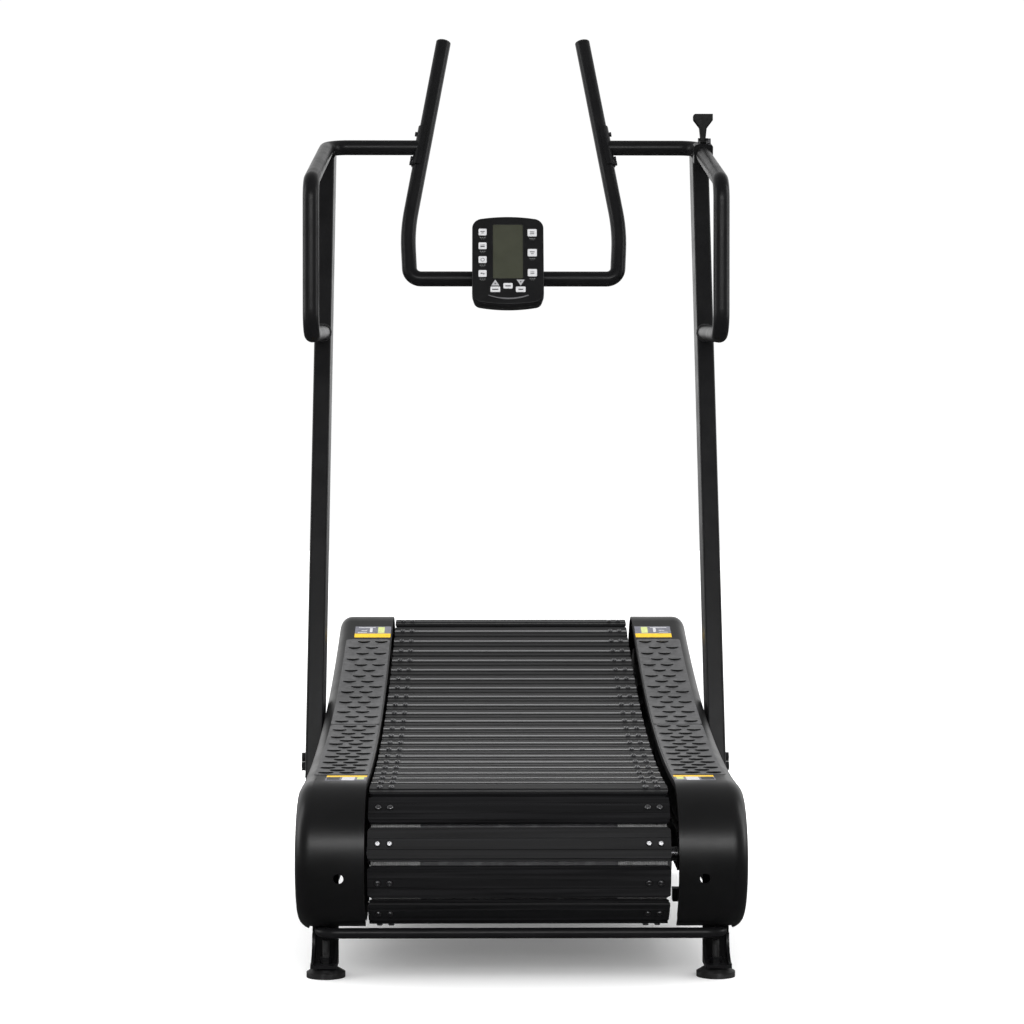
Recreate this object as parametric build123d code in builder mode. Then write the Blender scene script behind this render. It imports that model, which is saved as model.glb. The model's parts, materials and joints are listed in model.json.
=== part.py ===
from build123d import *
from math import atan2, cos, degrees, pi, radians, sin, tan
import os

# A curved manual treadmill: a slatted belt runs round two drums over a curved roller deck.
# Millimetres. +X is the runner's right, +Y the way the runner faces, +Z up.
# The origin is the centre of the treadmill's outer box, on the floor.

# ---- Driving dimensions -------------------------------------------------------------------

# Belt: slats bolted across two rubber bands
belt_pitch = 60.0
slat_count = 55
drum_pitches = 11
belt_middle_x = -4.0
slat_length = 508.0
slat_width = 57.0
slat_corner = 8.0
slat_top = 12.5
slat_foot_gap = 0.05
band_width = 83.0
band_offset = 207.0
band_thickness = 5.0
band_end_gap = 4.0
first_slat = 14.9
slat_bolt_insets = (17.0, 37.0)
slat_bolt_radius = 2.5
slat_bolt_head_radius = 5.0
slat_bolt_head_height = 3.2
hole_clearance = 0.1

# Drums, shafts and bearings
deck_radius = 3975.0
rear_drum_height = 204.0
drum_gap = 0.5
drum_wall = 4.0
drum_half_length = 248.0
drum_disc = 8.0
shaft_radius = 12.5
shaft_end = 306.0
running_clearance = 0.05
bearing_radius = 42.0
bearing_depth = 22.0

# Frame under the covers
beam_inner_x = 276.0
beam_width = 36.0
beam_half_height = 40.0
beam_wall = 3.0
beam_end_distance = 110.0
plate_thickness = 8.0
plate_radius = 55.0
guard_radius = 112.0
eye_radius = 28.0
eye_depth = 26.0
hanger_thickness = 3.0
plate_length = 165.0
plate_half_height = 38.0
cross_tube_places = (200.0, 510.0, 810.0, 1120.0)
cross_tube_run = 60.0
cross_tube_height = 40.0
guide_size = (26.0, 22.0)
guide_height = -69.0

# Roller deck
rail_offset = 196.0
rail_thickness = 5.0
rail_top = -12.0
rail_bottom = -84.6
roller_radius = 11.0
roller_width = 12.0
roller_pin_radius = 4.0
roller_spacing = 80.0
roller_margin = 85.0
roller_gap = 0.5
rail_overhang = 14.0

# Side covers and their tread pads
cover_inner_x = 263.0
cover_outer_x = 380.0
cover_rise = 21.0
cover_wall = 4.0
cover_edge_radius = 26.0
cover_lip = 8.0
cover_lip_thickness = 3.0
cover_low_front_y = 430.0
cover_low_front_z = 150.0
cover_low_radius = 60.0
cover_flange_x = 362.0
cover_open_y = -53.0
access_hole_x = 306.0
access_hole_z = 180.0
access_hole_radius = 8.5
pad_inner_x = 266.0
pad_width = 94.0
pad_thickness = 1.5
pad_corner = 8.0
pad_spans = ((80.0, 575.0), (581.0, 1170.0))

# Uprights
upright_inner_x = 383.0
upright_width = 35.0
upright_depth = 80.0
upright_wall = 2.5
upright_corner = 5.0
upright_lean = 17.9
upright_foot_y = 684.0
upright_foot_z = 260.0
upright_top_gap = 0.7
frame_bolt_heights = (294.0, 276.0)
frame_bolt_radius = 6.0
frame_bolt_head_radius = 10.0
frame_bolt_head = 9.0
spacer_radius = 14.0

# Handrails and handlebar, all of one tube size
tube_radius = 16.0
tube_wall = 2.5
rail_x = upright_inner_x + upright_width / 2
crossbar_distance = 1140.0
crossbar_z = 1565.5
crossbar_inner_x = 200.0
loop_y = 612.0
loop_top_z = 1429.0
loop_bottom_z = 1131.0
loop_radius = 45.0
return_y = 1010.0
return_z = 1160.0
horn_top_x = 152.0
horn_top_z = 1803.0
horn_knee_x = 226.0
horn_knee_z = 1381.0
bar_corner_x = 220.0
bar_z = 1275.5
horn_knee_radius = 400.0
bar_corner_radius = 25.0
cap_length = 12.0
cap_head = 3.0
saddle_thickness = 3.0
saddle_length = 92.0
saddle_bolt_steps = (29.0, -29.0, -40.0)
saddle_bolt_radius = 5.0
saddle_bolt_head = 4.0

# Rear feet, lift bar, front legs and transport wheels
foot_x = 332.0
foot_y = -30.0
foot_radius = 33.0
foot_height = 15.0
foot_stem_radius = 6.0
foot_stem_top = 62.0
foot_collar_height = 2.0
foot_travel = 10.0
bracket_middle_x = 334.5
bracket_width = 45.0
bracket_plate = 5.0
bracket_flange_z = 18.0
bracket_depth = 62.0
bracket_back_gap = 3.0
bracket_top_z = 178.0
bracket_lip = 8.0
bracket_side_spots = ((24.0, 22.0), (12.0, 52.0))
bracket_arm = (120.0, 20.0)
nut_radius = 10.5
nut_height = 10.0
lift_bar_radius = 9.0
lift_bar_x = 342.0
lift_bar_y = -62.0
lift_bar_z = 79.0
lift_bar_reach = 60.0
lift_bar_bend = 30.0
leg_y = 485.0
leg_depth = 50.0
leg_inner_x = 278.0
leg_width = 32.0
leg_low_z = 22.0
leg_tie_z = 95.0
leg_tie_size = 40.0
wheel_radius = 40.0
wheel_width = 24.0
wheel_inner_x = 316.0
wheel_axle_radius = 8.0
wheel_axle_length = 36.0
wheel_axle_head = 12.0

# Magnetic resistance: flywheel, caliper and lever
flywheel_radius = 100.0
flywheel_x = 322.0
flywheel_thickness = 16.0
flywheel_hub_radius = 26.0
flywheel_hub_x = 314.0
flywheel_hub_length = 32.0
front_shaft_end = 350.0
brake_pivot = (-142.0, -49.0)
brake_tip = (-60.0, 70.0)
brake_pin_radius = 5.0
brake_arm_radius = 13.0
brake_arm_thickness = 4.0
brake_arm_inner_x = 316.0
magnet_radius = 9.0
magnet_thickness = 1.3
lever_y = 1040.0
lever_axis_z = 1566.0
lever_top_z = 1624.5
lever_head_half = 21.0
lever_head_low_z = 1611.0
lever_neck = (8.0, 1594.0)
lever_stem_half = 5.0
lever_depth = 12.0
lever_corner = 6.0
lever_rounding = 3.0
lever_hub_radius = 6.5
lever_ear_radius = 7.5
lever_hub_width = 12.0
lever_pin_radius = 3.0
lever_ear_thickness = 4.0
lever_knob = (7.0, 6.0)
clamp_length = 34.0
clamp_size = (40.0, 44.0)
clamp_corner = 6.0

# Console
console_x = -13.0
console_y = 975.0
console_z = 1309.0
console_tilt = 20.0
console_width = 150.0
console_height = 202.0
console_crown = 8.0
console_corner = 22.0
console_front_depth = 18.0
console_back_depth = 20.0
console_taper = 6.0
console_back_corner = 16.0
console_wall = 3.0
console_edge = 3.0
screen_size = (63.0, 124.0)
screen_v = 20.0
board_size = (126.0, 168.0)
board_depth = 11.0
board_thickness = 1.6
key_gap = 0.3
key_rise = 1.5
key_flange = 1.6
key_corner = 2.5
console_keys = {
    "key_left_1": (-53.0, 64.5, 17.5, 16.0),
    "key_left_2": (-53.0, 32.7, 17.5, 16.0),
    "key_left_3": (-53.0, 0.9, 17.5, 16.0),
    "key_left_4": (-53.0, -30.9, 17.5, 16.0),
    "key_right_1": (51.0, 63.0, 20.0, 17.5),
    "key_right_2": (51.0, 17.0, 20.0, 17.5),
    "key_right_3": (51.0, -29.0, 20.0, 17.5),
    "key_up": (-26.5, -67.0, 21.0, 13.0),
    "key_middle": (0.0, -59.0, 20.0, 13.0),
    "key_down": (26.5, -67.0, 21.0, 13.0),
}

# ---- Derived dimensions -------------------------------------------------------------------

belt_length = belt_pitch * slat_count
pitch_radius = belt_pitch * drum_pitches / (2 * pi)
drum_radius = pitch_radius - band_thickness / 2 - drum_gap
wrap_run = pi * pitch_radius
deck_angle = (belt_length - 2 * wrap_run) / (2 * deck_radius)
lower_run = (deck_radius + pitch_radius) * deck_angle
top_run = (deck_radius - pitch_radius) * deck_angle
rear_y = -deck_radius * sin(deck_angle) / 2
front_y = -rear_y
arc_z = rear_drum_height + deck_radius
front_drum_height = arc_z - deck_radius * cos(deck_angle)
drum_low_x = belt_middle_x - drum_half_length
beam_outer_x = beam_inner_x + beam_width
plate_inner_x = beam_inner_x - plate_thickness
lean_slope = tan(radians(upright_lean))
crossbar_y = rear_y + crossbar_distance
rail_slope = atan2(crossbar_z - loop_top_z, crossbar_y - rear_y - loop_y)
console_face = Plane(
    origin=(console_x, rear_y + console_y, console_z),
    x_dir=(1, 0, 0),
    z_dir=(0, -cos(radians(console_tilt)), sin(radians(console_tilt))),
)

# The six slats at each drum turn with it. The others ride with the run that holds them.
drum_slats = 6
lower_slats = 22
slat_groups = {
    "rear": range(0, drum_slats),
    "lower": range(drum_slats, drum_slats + lower_slats),
    "front": range(drum_slats + lower_slats, 2 * drum_slats + lower_slats),
    "top": range(2 * drum_slats + lower_slats, slat_count),
}


def belt_spot(distance, outward=0.0):
    """Y, Z and turn about X at a distance along the belt from the top of the rear drum.

    The belt goes back over the rear drum, forward underneath, round the front drum and back
    along the deck. A negative distance is on the deck, before the rear drum.
    """
    place = distance % belt_length
    if place <= wrap_run:
        centre_y, centre_z, radius = rear_y, rear_drum_height, pitch_radius
        turn = place / pitch_radius
    elif place <= wrap_run + lower_run:
        centre_y, centre_z, radius = rear_y, arc_z, deck_radius + pitch_radius
        turn = pi + (place - wrap_run) / radius
    elif place <= 2 * wrap_run + lower_run:
        centre_y, centre_z, radius = front_y, front_drum_height, pitch_radius
        turn = pi + deck_angle + (place - wrap_run - lower_run) / radius
    else:
        centre_y, centre_z, radius = rear_y, arc_z, -(deck_radius - pitch_radius)
        turn = (belt_length - place) / -radius
    reach = radius + outward
    return centre_y - reach * sin(turn), centre_z + reach * cos(turn), degrees(turn)


def belt_point(distance, outward=0.0):
    """Y and Z of a point on the belt's path, moved outward from its pitch line."""
    y, z, _ = belt_spot(distance, outward)
    return y, z


def belt_arcs(start, stop, outward):
    """Arcs along the belt's path, one for each run or drum that it passes."""
    joints = [-top_run, 0.0, wrap_run, wrap_run + lower_run, 2 * wrap_run + lower_run, belt_length]
    ends = [start] + [joint for joint in joints if start < joint < stop] + [stop]
    for low, high in zip(ends, ends[1:]):
        middle = (low + high) / 2
        ThreePointArc(
            belt_point(low, outward),
            belt_point(middle, outward),
            belt_point(high, outward),
        )


def belt_strip(start, stop, inner, outer):
    """Face between two lines that follow the belt's path."""
    with BuildSketch() as strip:
        with BuildLine():
            belt_arcs(start, stop, outer)
            belt_arcs(start, stop, inner)
            Line(belt_point(start, inner), belt_point(start, outer))
            Line(belt_point(stop, inner), belt_point(stop, outer))
        make_face()
    return strip.sketch


def frame_point(distance, across=0.0):
    """Y and Z on the arc that joins the two drum centres, and across it, outward being up."""
    angle = distance / deck_radius
    radius = deck_radius - across
    return rear_y + radius * sin(angle), arc_z - radius * cos(angle)


def frame_strip(start, stop, low, high):
    """Face along the arc that joins the drum centres."""
    middle = (start + stop) / 2
    with BuildSketch() as strip:
        with BuildLine():
            ThreePointArc(
                frame_point(start, high), frame_point(middle, high), frame_point(stop, high)
            )
            ThreePointArc(
                frame_point(start, low), frame_point(middle, low), frame_point(stop, low)
            )
            Line(frame_point(start, low), frame_point(start, high))
            Line(frame_point(stop, low), frame_point(stop, high))
        make_face()
    return strip.sketch


def lean_point(x, z):
    """Point of the handlebar's leaning plane at a given X and height."""
    return x, crossbar_y + (z - crossbar_z) * lean_slope, z


def tube_section():
    """Ring section of the handrail tube."""
    Circle(tube_radius)
    Circle(tube_radius - tube_wall, mode=Mode.SUBTRACT)


def slat_place(index):
    """Location of one slat: its own Z points out of the belt."""
    y, z, turn = belt_spot(first_slat + belt_pitch * index)
    return Location((belt_middle_x, y, z), (turn, 0, 0))


def save(builder, name):
    """Label a finished piece and write its STEP file."""
    builder.part.label = name
    export_step(builder.part, "parts/" + name + ".step")


os.makedirs("parts", exist_ok=True)
frame_length = deck_radius * deck_angle

# ---- Base frame ---------------------------------------------------------------------------

# Two curved box beams, open at their ends, with bosses for the upright bolts and a brake stud.
bolt_middle_y = {
    height: rear_y
    + upright_foot_y
    + (height - upright_foot_z) * lean_slope
    + upright_depth / 2 / cos(radians(upright_lean))
    for height in frame_bolt_heights
}
brake_stud_y = front_y + brake_pivot[0]
brake_stud_z = front_drum_height + brake_pivot[1]
with BuildPart() as side_beams:
    with BuildSketch(Plane.YZ.offset(beam_inner_x)):
        add(
            frame_strip(
                beam_end_distance,
                frame_length - beam_end_distance,
                -beam_half_height,
                beam_half_height,
            )
        )
    extrude(amount=beam_width)
    with BuildSketch(Plane.YZ.offset(beam_inner_x + beam_wall)):
        add(
            frame_strip(
                beam_end_distance - 1,
                frame_length - beam_end_distance + 1,
                beam_wall - beam_half_height,
                beam_half_height - beam_wall,
            )
        )
    extrude(amount=beam_width - 2 * beam_wall, mode=Mode.SUBTRACT)
    for height, y in bolt_middle_y.items():
        with BuildSketch(Plane.YZ.offset(beam_outer_x)):
            with Locations((y, height)):
                Circle(frame_bolt_radius + 3)
        extrude(amount=cover_outer_x - cover_wall - beam_outer_x)
        with BuildSketch(Plane.YZ.offset(beam_outer_x - beam_wall)):
            with Locations((y, height)):
                Circle(frame_bolt_radius)
        extrude(amount=cover_outer_x - beam_outer_x, mode=Mode.SUBTRACT)
    mirror(about=Plane.YZ)
    with BuildSketch(Plane.YZ.offset(beam_outer_x)):
        with Locations((brake_stud_y, brake_stud_z)):
            Circle(brake_pin_radius)
    extrude(amount=brake_arm_inner_x + 32 - beam_outer_x)
save(side_beams, "side_beams")

# Four rectangular tubes that tie the beams together inside the belt's loop.
with BuildPart() as cross_tubes:
    for place in cross_tube_places:
        y, z = frame_point(place)
        with BuildSketch(Plane.YZ.offset(-beam_inner_x)):
            with Locations(Location((y, z, 0), (0, 0, degrees(place / deck_radius)))):
                Rectangle(cross_tube_run, cross_tube_height)
                Rectangle(
                    cross_tube_run - 2 * beam_wall,
                    cross_tube_height - 2 * beam_wall,
                    mode=Mode.SUBTRACT,
                )
        extrude(amount=2 * beam_inner_x)
save(cross_tubes, "cross_tubes")

# Plates that carry the drum shafts. At the rear, the left one is a full disc that guards the
# drum's end and the right one is a slim eye. Each has a block that keeps the belt from wandering.
with BuildPart() as axle_plates:
    with BuildSketch(Plane.YZ.offset(plate_inner_x)):
        add(frame_strip(frame_length - plate_length, frame_length, -plate_half_height, plate_half_height))
        with Locations((front_y, front_drum_height)):
            Circle(plate_radius)
            Circle(shaft_radius + 3, mode=Mode.SUBTRACT)
    extrude(amount=plate_thickness)
    mirror(about=Plane.YZ)
    for side, radius, depth in ((1, eye_radius, eye_depth), (-1, guard_radius, plate_half_height)):
        with BuildSketch(Plane.YZ.offset(side * plate_inner_x)):
            add(frame_strip(0.0, plate_length, -depth, plate_half_height))
            with Locations((rear_y, rear_drum_height)):
                Circle(radius)
                Circle(shaft_radius + 3, mode=Mode.SUBTRACT)
        extrude(amount=side * plate_thickness)
        with BuildSketch(Plane.YZ.offset(side * (plate_inner_x - cover_lip))):
            with Locations((rear_y, rear_drum_height + guide_height)):
                Rectangle(*guide_size)
        extrude(amount=side * (cover_lip + plate_thickness))
    with BuildSketch(Plane.YZ.offset(beam_inner_x - hanger_thickness)):
        with Locations((rear_y, rear_drum_height + guide_height / 2 - eye_depth / 4)):
            Rectangle(guide_size[0], -guide_height - eye_depth / 2)
    extrude(amount=hanger_thickness)
save(axle_plates, "axle_plates")

# Flange bearings on the plates' outer faces.
with BuildPart() as shaft_bearings:
    for y, z in ((rear_y, rear_drum_height), (front_y, front_drum_height)):
        with BuildSketch(Plane.YZ.offset(beam_inner_x)):
            with Locations((y, z)):
                Circle(bearing_radius)
                Circle(shaft_radius + running_clearance, mode=Mode.SUBTRACT)
        extrude(amount=bearing_depth / 3)
        with BuildSketch(Plane.YZ.offset(beam_inner_x)):
            with Locations((y, z)):
                Circle(bearing_radius * 0.68)
                Circle(shaft_radius + running_clearance, mode=Mode.SUBTRACT)
        extrude(amount=bearing_depth)
    mirror(about=Plane.YZ)
save(shaft_bearings, "shaft_bearings")

# Curved rails on edge under each band, with the pins that the rollers turn on.
roller_count = int((top_run - 2 * roller_margin) // roller_spacing) + 1
roller_start = (top_run - roller_spacing * (roller_count - 1)) / 2
roller_depth = band_thickness / 2 + roller_gap + roller_radius
roller_spots = [
    belt_point(-(roller_start + roller_spacing * index), -roller_depth)
    for index in range(roller_count)
]
rail_faces = (
    (belt_middle_x + rail_offset, 1.0),
    (belt_middle_x - rail_offset, -1.0),
)
with BuildPart() as roller_rails:
    for face_x, side in rail_faces:
        with BuildSketch(Plane.YZ.offset(face_x)):
            add(
                belt_strip(
                    roller_start - top_run - rail_overhang,
                    rail_overhang - roller_start,
                    rail_bottom,
                    rail_top,
                )
            )
        extrude(amount=side * rail_thickness)
        with BuildSketch(Plane.YZ.offset(face_x + side * rail_thickness)):
            with Locations(*roller_spots):
                Circle(roller_pin_radius)
        extrude(amount=side * (roller_width + 2))
save(roller_rails, "roller_rails")

# Ball-bearing rollers under the bands.
with BuildPart() as deck_rollers:
    for face_x, side in rail_faces:
        with BuildSketch(Plane.YZ.offset(face_x + side * (rail_thickness + 1))):
            with Locations(*roller_spots):
                Circle(roller_radius)
                Circle(roller_pin_radius + running_clearance, mode=Mode.SUBTRACT)
        extrude(amount=side * roller_width)
save(deck_rollers, "deck_rollers")

# Folded brackets that step out from the beams and hold the rear feet, with a weld nut each.
bracket_y = rear_y + foot_y
bracket_back_y = rear_y + bracket_back_gap
bracket_front_y = bracket_back_y - bracket_depth
bracket_inner_x = bracket_middle_x - bracket_width / 2
bracket_side_xs = (bracket_inner_x, bracket_inner_x + bracket_width - bracket_plate)
bracket_lip_z = bracket_flange_z + bracket_lip
bracket_side_top_z = bracket_flange_z + bracket_side_spots[1][1]
with BuildPart() as foot_brackets:
    with BuildSketch(Plane.XY.offset(bracket_flange_z)):
        with Locations((bracket_middle_x, (bracket_back_y + bracket_front_y) / 2)):
            Rectangle(bracket_width, bracket_depth)
    extrude(amount=bracket_plate)
    with BuildSketch(Plane.XZ.offset(bracket_plate - bracket_back_y)):
        with Locations((bracket_middle_x, (bracket_flange_z + bracket_top_z) / 2)):
            Rectangle(bracket_width, bracket_top_z - bracket_flange_z)
    extrude(amount=-bracket_plate)
    for x in bracket_side_xs:
        with BuildSketch(Plane.YZ.offset(x)):
            with BuildLine():
                side_spots = [
                    (bracket_back_y - step, bracket_flange_z + height)
                    for step, height in bracket_side_spots
                ]
                Line((bracket_back_y, bracket_flange_z), (bracket_front_y, bracket_flange_z))
                Line((bracket_front_y, bracket_flange_z), (bracket_front_y, bracket_lip_z))
                ThreePointArc((bracket_front_y, bracket_lip_z), side_spots[0], side_spots[1])
                Line(side_spots[1], (bracket_back_y, bracket_side_top_z))
                Line((bracket_back_y, bracket_side_top_z), (bracket_back_y, bracket_flange_z))
            make_face()
        extrude(amount=bracket_plate)
    with BuildSketch(Plane.YZ.offset(beam_outer_x)):
        with Locations((bracket_back_y, bracket_top_z)):
            Rectangle(*bracket_arm, align=(Align.MIN, Align.MAX))
    extrude(amount=bracket_width - 1)
    with BuildSketch(Plane.XY.offset(bracket_flange_z)):
        with Locations((foot_x, bracket_y)):
            RegularPolygon(nut_radius, 6)
    extrude(amount=bracket_plate + nut_height)
    with BuildSketch(Plane.XY):
        with Locations((foot_x, bracket_y)):
            Circle(foot_stem_radius + running_clearance)
    extrude(amount=bracket_top_z, mode=Mode.SUBTRACT)
    mirror(about=Plane.YZ)
save(foot_brackets, "foot_brackets")

# Lift bar across the back, its ends bent forward and welded to the foot brackets.
with BuildPart() as lift_bar:
    bar_y = rear_y + lift_bar_y
    with BuildLine() as lift_path:
        FilletPolyline(
            (-lift_bar_x, bar_y + lift_bar_reach, lift_bar_z),
            (-lift_bar_x, bar_y, lift_bar_z),
            (lift_bar_x, bar_y, lift_bar_z),
            (lift_bar_x, bar_y + lift_bar_reach, lift_bar_z),
            radius=lift_bar_bend,
        )
    with BuildSketch(Plane(lift_path.line @ 0, z_dir=lift_path.line % 0)):
        Circle(lift_bar_radius)
    sweep()
save(lift_bar, "lift_bar")

# Front legs under the beams, their tie tube and the wheels' stub axles.
with BuildPart() as front_legs:
    with BuildSketch(Plane.XY.offset(leg_low_z)):
        with Locations((leg_inner_x + leg_width / 2, leg_y)):
            Rectangle(leg_width, leg_depth)
            Rectangle(leg_width - 2 * beam_wall, leg_depth - 2 * beam_wall, mode=Mode.SUBTRACT)
    extrude(amount=front_drum_height)
    with BuildSketch(Plane.YZ.offset(leg_inner_x - 1)):
        add(frame_strip(0, frame_length, -beam_half_height - 0.1, 400))
    extrude(amount=leg_width + 2, mode=Mode.SUBTRACT)
    with BuildSketch(Plane.YZ.offset(leg_inner_x)):
        with Locations((leg_y, wheel_radius)):
            Circle(wheel_axle_radius + 4)
    extrude(amount=wheel_inner_x - 2 - leg_inner_x)
    with BuildSketch(Plane.YZ.offset(leg_inner_x)):
        with Locations((leg_y, wheel_radius)):
            Circle(wheel_axle_radius)
    extrude(amount=wheel_inner_x + wheel_width + 3 - leg_inner_x)
    with BuildSketch(Plane.YZ.offset(wheel_inner_x + wheel_width + 2)):
        with Locations((leg_y, wheel_radius)):
            Circle(wheel_axle_head)
    extrude(amount=4)
    mirror(about=Plane.YZ)
    with BuildSketch(Plane.YZ.offset(-leg_inner_x)):
        with Locations((leg_y, leg_tie_z)):
            Rectangle(leg_tie_size, leg_tie_size)
            Rectangle(leg_tie_size - 2 * beam_wall, leg_tie_size - 2 * beam_wall, mode=Mode.SUBTRACT)
    extrude(amount=2 * leg_inner_x)
save(front_legs, "front_legs")

# ---- Side covers --------------------------------------------------------------------------


def cover_profile(rise):
    """Side outline of a cover: the belt's path moved out, over a lower edge with one corner."""
    low_y, low_z = belt_point(wrap_run, rise)
    inset = low_z - rear_drum_height + pitch_radius + cover_rise
    corner = (cover_low_front_y, cover_low_front_z + inset)
    gap_y = front_y - corner[0]
    gap_z = front_drum_height - corner[1]
    reach = pitch_radius + rise
    run = (gap_y**2 + gap_z**2 - reach**2) ** 0.5
    angle = atan2(gap_z, gap_y) - atan2(reach, run)
    touch = (corner[0] + run * cos(angle), corner[1] + run * sin(angle))
    front_end = pi + angle
    wrap_stop = 2 * pi + deck_angle
    middle = (front_end + wrap_stop) / 2
    with BuildSketch() as profile:
        with BuildLine():
            belt_arcs(-top_run, wrap_run, rise)
            Line((low_y, low_z), corner)
            Line(corner, touch)
            ThreePointArc(
                touch,
                (front_y - reach * sin(middle), front_drum_height + reach * cos(middle)),
                belt_point(-top_run, rise),
            )
        make_face()
        fillet(profile.vertices().sort_by_distance(corner)[0], radius=cover_low_radius)
    return profile.sketch


# The hollow inside a cover, open towards the belt.
with BuildPart() as cover_core:
    with BuildSketch(Plane.YZ.offset(cover_inner_x - 1)):
        add(cover_profile(cover_rise - cover_wall))
    extrude(amount=cover_outer_x - cover_wall - cover_inner_x + 1)
    fillet(cover_core.faces().sort_by(Axis.X)[-1].edges(), radius=cover_edge_radius - cover_wall)

# A moulded shell: open towards the belt and underneath, with a short lip beside the slats,
# an access hole behind, and holes for the upright bolts.
low_open_y = rear_y + cover_open_y
with BuildPart() as side_cover_right:
    with BuildSketch(Plane.YZ.offset(cover_inner_x)):
        add(cover_profile(cover_rise))
    extrude(amount=cover_outer_x - cover_inner_x)
    fillet(side_cover_right.faces().sort_by(Axis.X)[-1].edges(), radius=cover_edge_radius)
    add(cover_core.part, mode=Mode.SUBTRACT)
    with BuildSketch(Plane.YZ.offset(cover_inner_x - 1)):
        with BuildLine():
            Polyline(
                (low_open_y, cover_low_front_z - 90),
                (low_open_y, cover_low_front_z - 50),
                (cover_low_front_y - 20, cover_low_front_z + 22),
                (front_y - 42, front_drum_height - 115),
                (front_y + 10, front_drum_height - 150),
                (cover_low_front_y, cover_low_front_z - 30),
                close=True,
            )
        make_face()
    extrude(amount=cover_flange_x - cover_inner_x + 1, mode=Mode.SUBTRACT)
    with BuildSketch(Plane.YZ.offset(cover_inner_x)):
        add(
            belt_strip(
                -top_run,
                wrap_run * 0.8,
                cover_rise - cover_wall - cover_lip,
                cover_rise - cover_wall,
            )
        )
    extrude(amount=cover_lip_thickness)
    with BuildSketch(Plane.XZ.offset(-rear_y)):
        with Locations((access_hole_x, access_hole_z)):
            Circle(access_hole_radius)
    extrude(amount=pitch_radius + cover_rise + 1, mode=Mode.SUBTRACT)
    with BuildSketch(Plane.YZ.offset(cover_outer_x - cover_wall - 1)):
        for height, y in bolt_middle_y.items():
            with Locations((y, height)):
                Circle(frame_bolt_radius + 0.5)
    extrude(amount=cover_wall + 2, mode=Mode.SUBTRACT)
save(side_cover_right, "side_cover_right")

with BuildPart() as side_cover_left:
    mirror(side_cover_right.part, about=Plane.YZ)
save(side_cover_left, "side_cover_left")

# Two anti-slip pads on top of each cover.
with BuildPart() as tread_pads:
    for start, stop in pad_spans:
        with BuildSketch(Plane.YZ.offset(pad_inner_x)):
            add(belt_strip(-stop, -start, cover_rise, cover_rise + pad_thickness))
        extrude(amount=pad_width)
    mirror(about=Plane.YZ)
save(tread_pads, "tread_pads")

# ---- Uprights -----------------------------------------------------------------------------

upright_foot = Plane(
    origin=(rail_x, rear_y + upright_foot_y, upright_foot_z),
    x_dir=(1, 0, 0),
    z_dir=(0, sin(radians(upright_lean)), cos(radians(upright_lean))),
)
upright_top = Plane(
    origin=(rail_x, crossbar_y, crossbar_z - tube_radius - upright_top_gap),
    x_dir=(1, 0, 0),
    z_dir=(0, -sin(rail_slope), cos(rail_slope)),
)
with BuildPart() as upright_right:
    with BuildSketch(upright_foot):
        with Locations((0, upright_depth / 2)):
            RectangleRounded(upright_width, upright_depth, upright_corner)
            RectangleRounded(
                upright_width - 2 * upright_wall,
                upright_depth - 2 * upright_wall,
                upright_corner - upright_wall,
                mode=Mode.SUBTRACT,
            )
    extrude(amount=2 * (crossbar_z - upright_foot_z))
    split(bisect_by=upright_top, keep=Keep.BOTTOM)
    with BuildSketch(Plane.YZ.offset(upright_inner_x - 1)):
        for height, y in bolt_middle_y.items():
            with Locations((y, height)):
                Circle(frame_bolt_radius + hole_clearance)
    extrude(amount=upright_width + 2, mode=Mode.SUBTRACT)
save(upright_right, "upright_right")

with BuildPart() as upright_left:
    mirror(upright_right.part, about=Plane.YZ)
save(upright_left, "upright_left")

# ---- Handrails ----------------------------------------------------------------------------

horn_way = Vector(
    horn_top_x - horn_knee_x, (horn_top_z - horn_knee_z) * lean_slope, horn_top_z - horn_knee_z
).normalized()
saddle_share = (crossbar_z - horn_knee_z) / (horn_top_z - horn_knee_z)
saddle_middle = Vector(
    horn_knee_x + (horn_top_x - horn_knee_x) * saddle_share, crossbar_y, crossbar_z
)
saddle_plane = Plane(origin=saddle_middle, x_dir=(1, 0, 0), z_dir=horn_way)

# Each handrail is one bent tube: out from the handlebar, back over the side, down and in again.
with BuildPart() as handrail_right:
    with BuildLine() as rail_path:
        FilletPolyline(
            (crossbar_inner_x, crossbar_y, crossbar_z),
            (rail_x, crossbar_y, crossbar_z),
            (rail_x, rear_y + loop_y, loop_top_z),
            (rail_x, rear_y + loop_y, loop_bottom_z),
            (rail_x, rear_y + return_y, return_z),
            radius=loop_radius,
        )
    with BuildSketch(Plane(rail_path.line @ 0, z_dir=rail_path.line % 0)):
        tube_section()
    sweep()
    with BuildSketch(saddle_plane.offset(-saddle_length)):
        Circle(tube_radius + saddle_thickness + hole_clearance)
    extrude(amount=2 * saddle_length, mode=Mode.SUBTRACT)
    with BuildSketch(upright_foot):
        with Locations((0, upright_depth / 2 - 0.1)):
            Rectangle(2 * upright_width, upright_depth)
    extrude(amount=(return_z - upright_foot_z) * 1.2, mode=Mode.SUBTRACT)
save(handrail_right, "handrail_right")

with BuildPart() as handrail_left:
    mirror(handrail_right.part, about=Plane.YZ)
save(handrail_left, "handrail_left")

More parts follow.
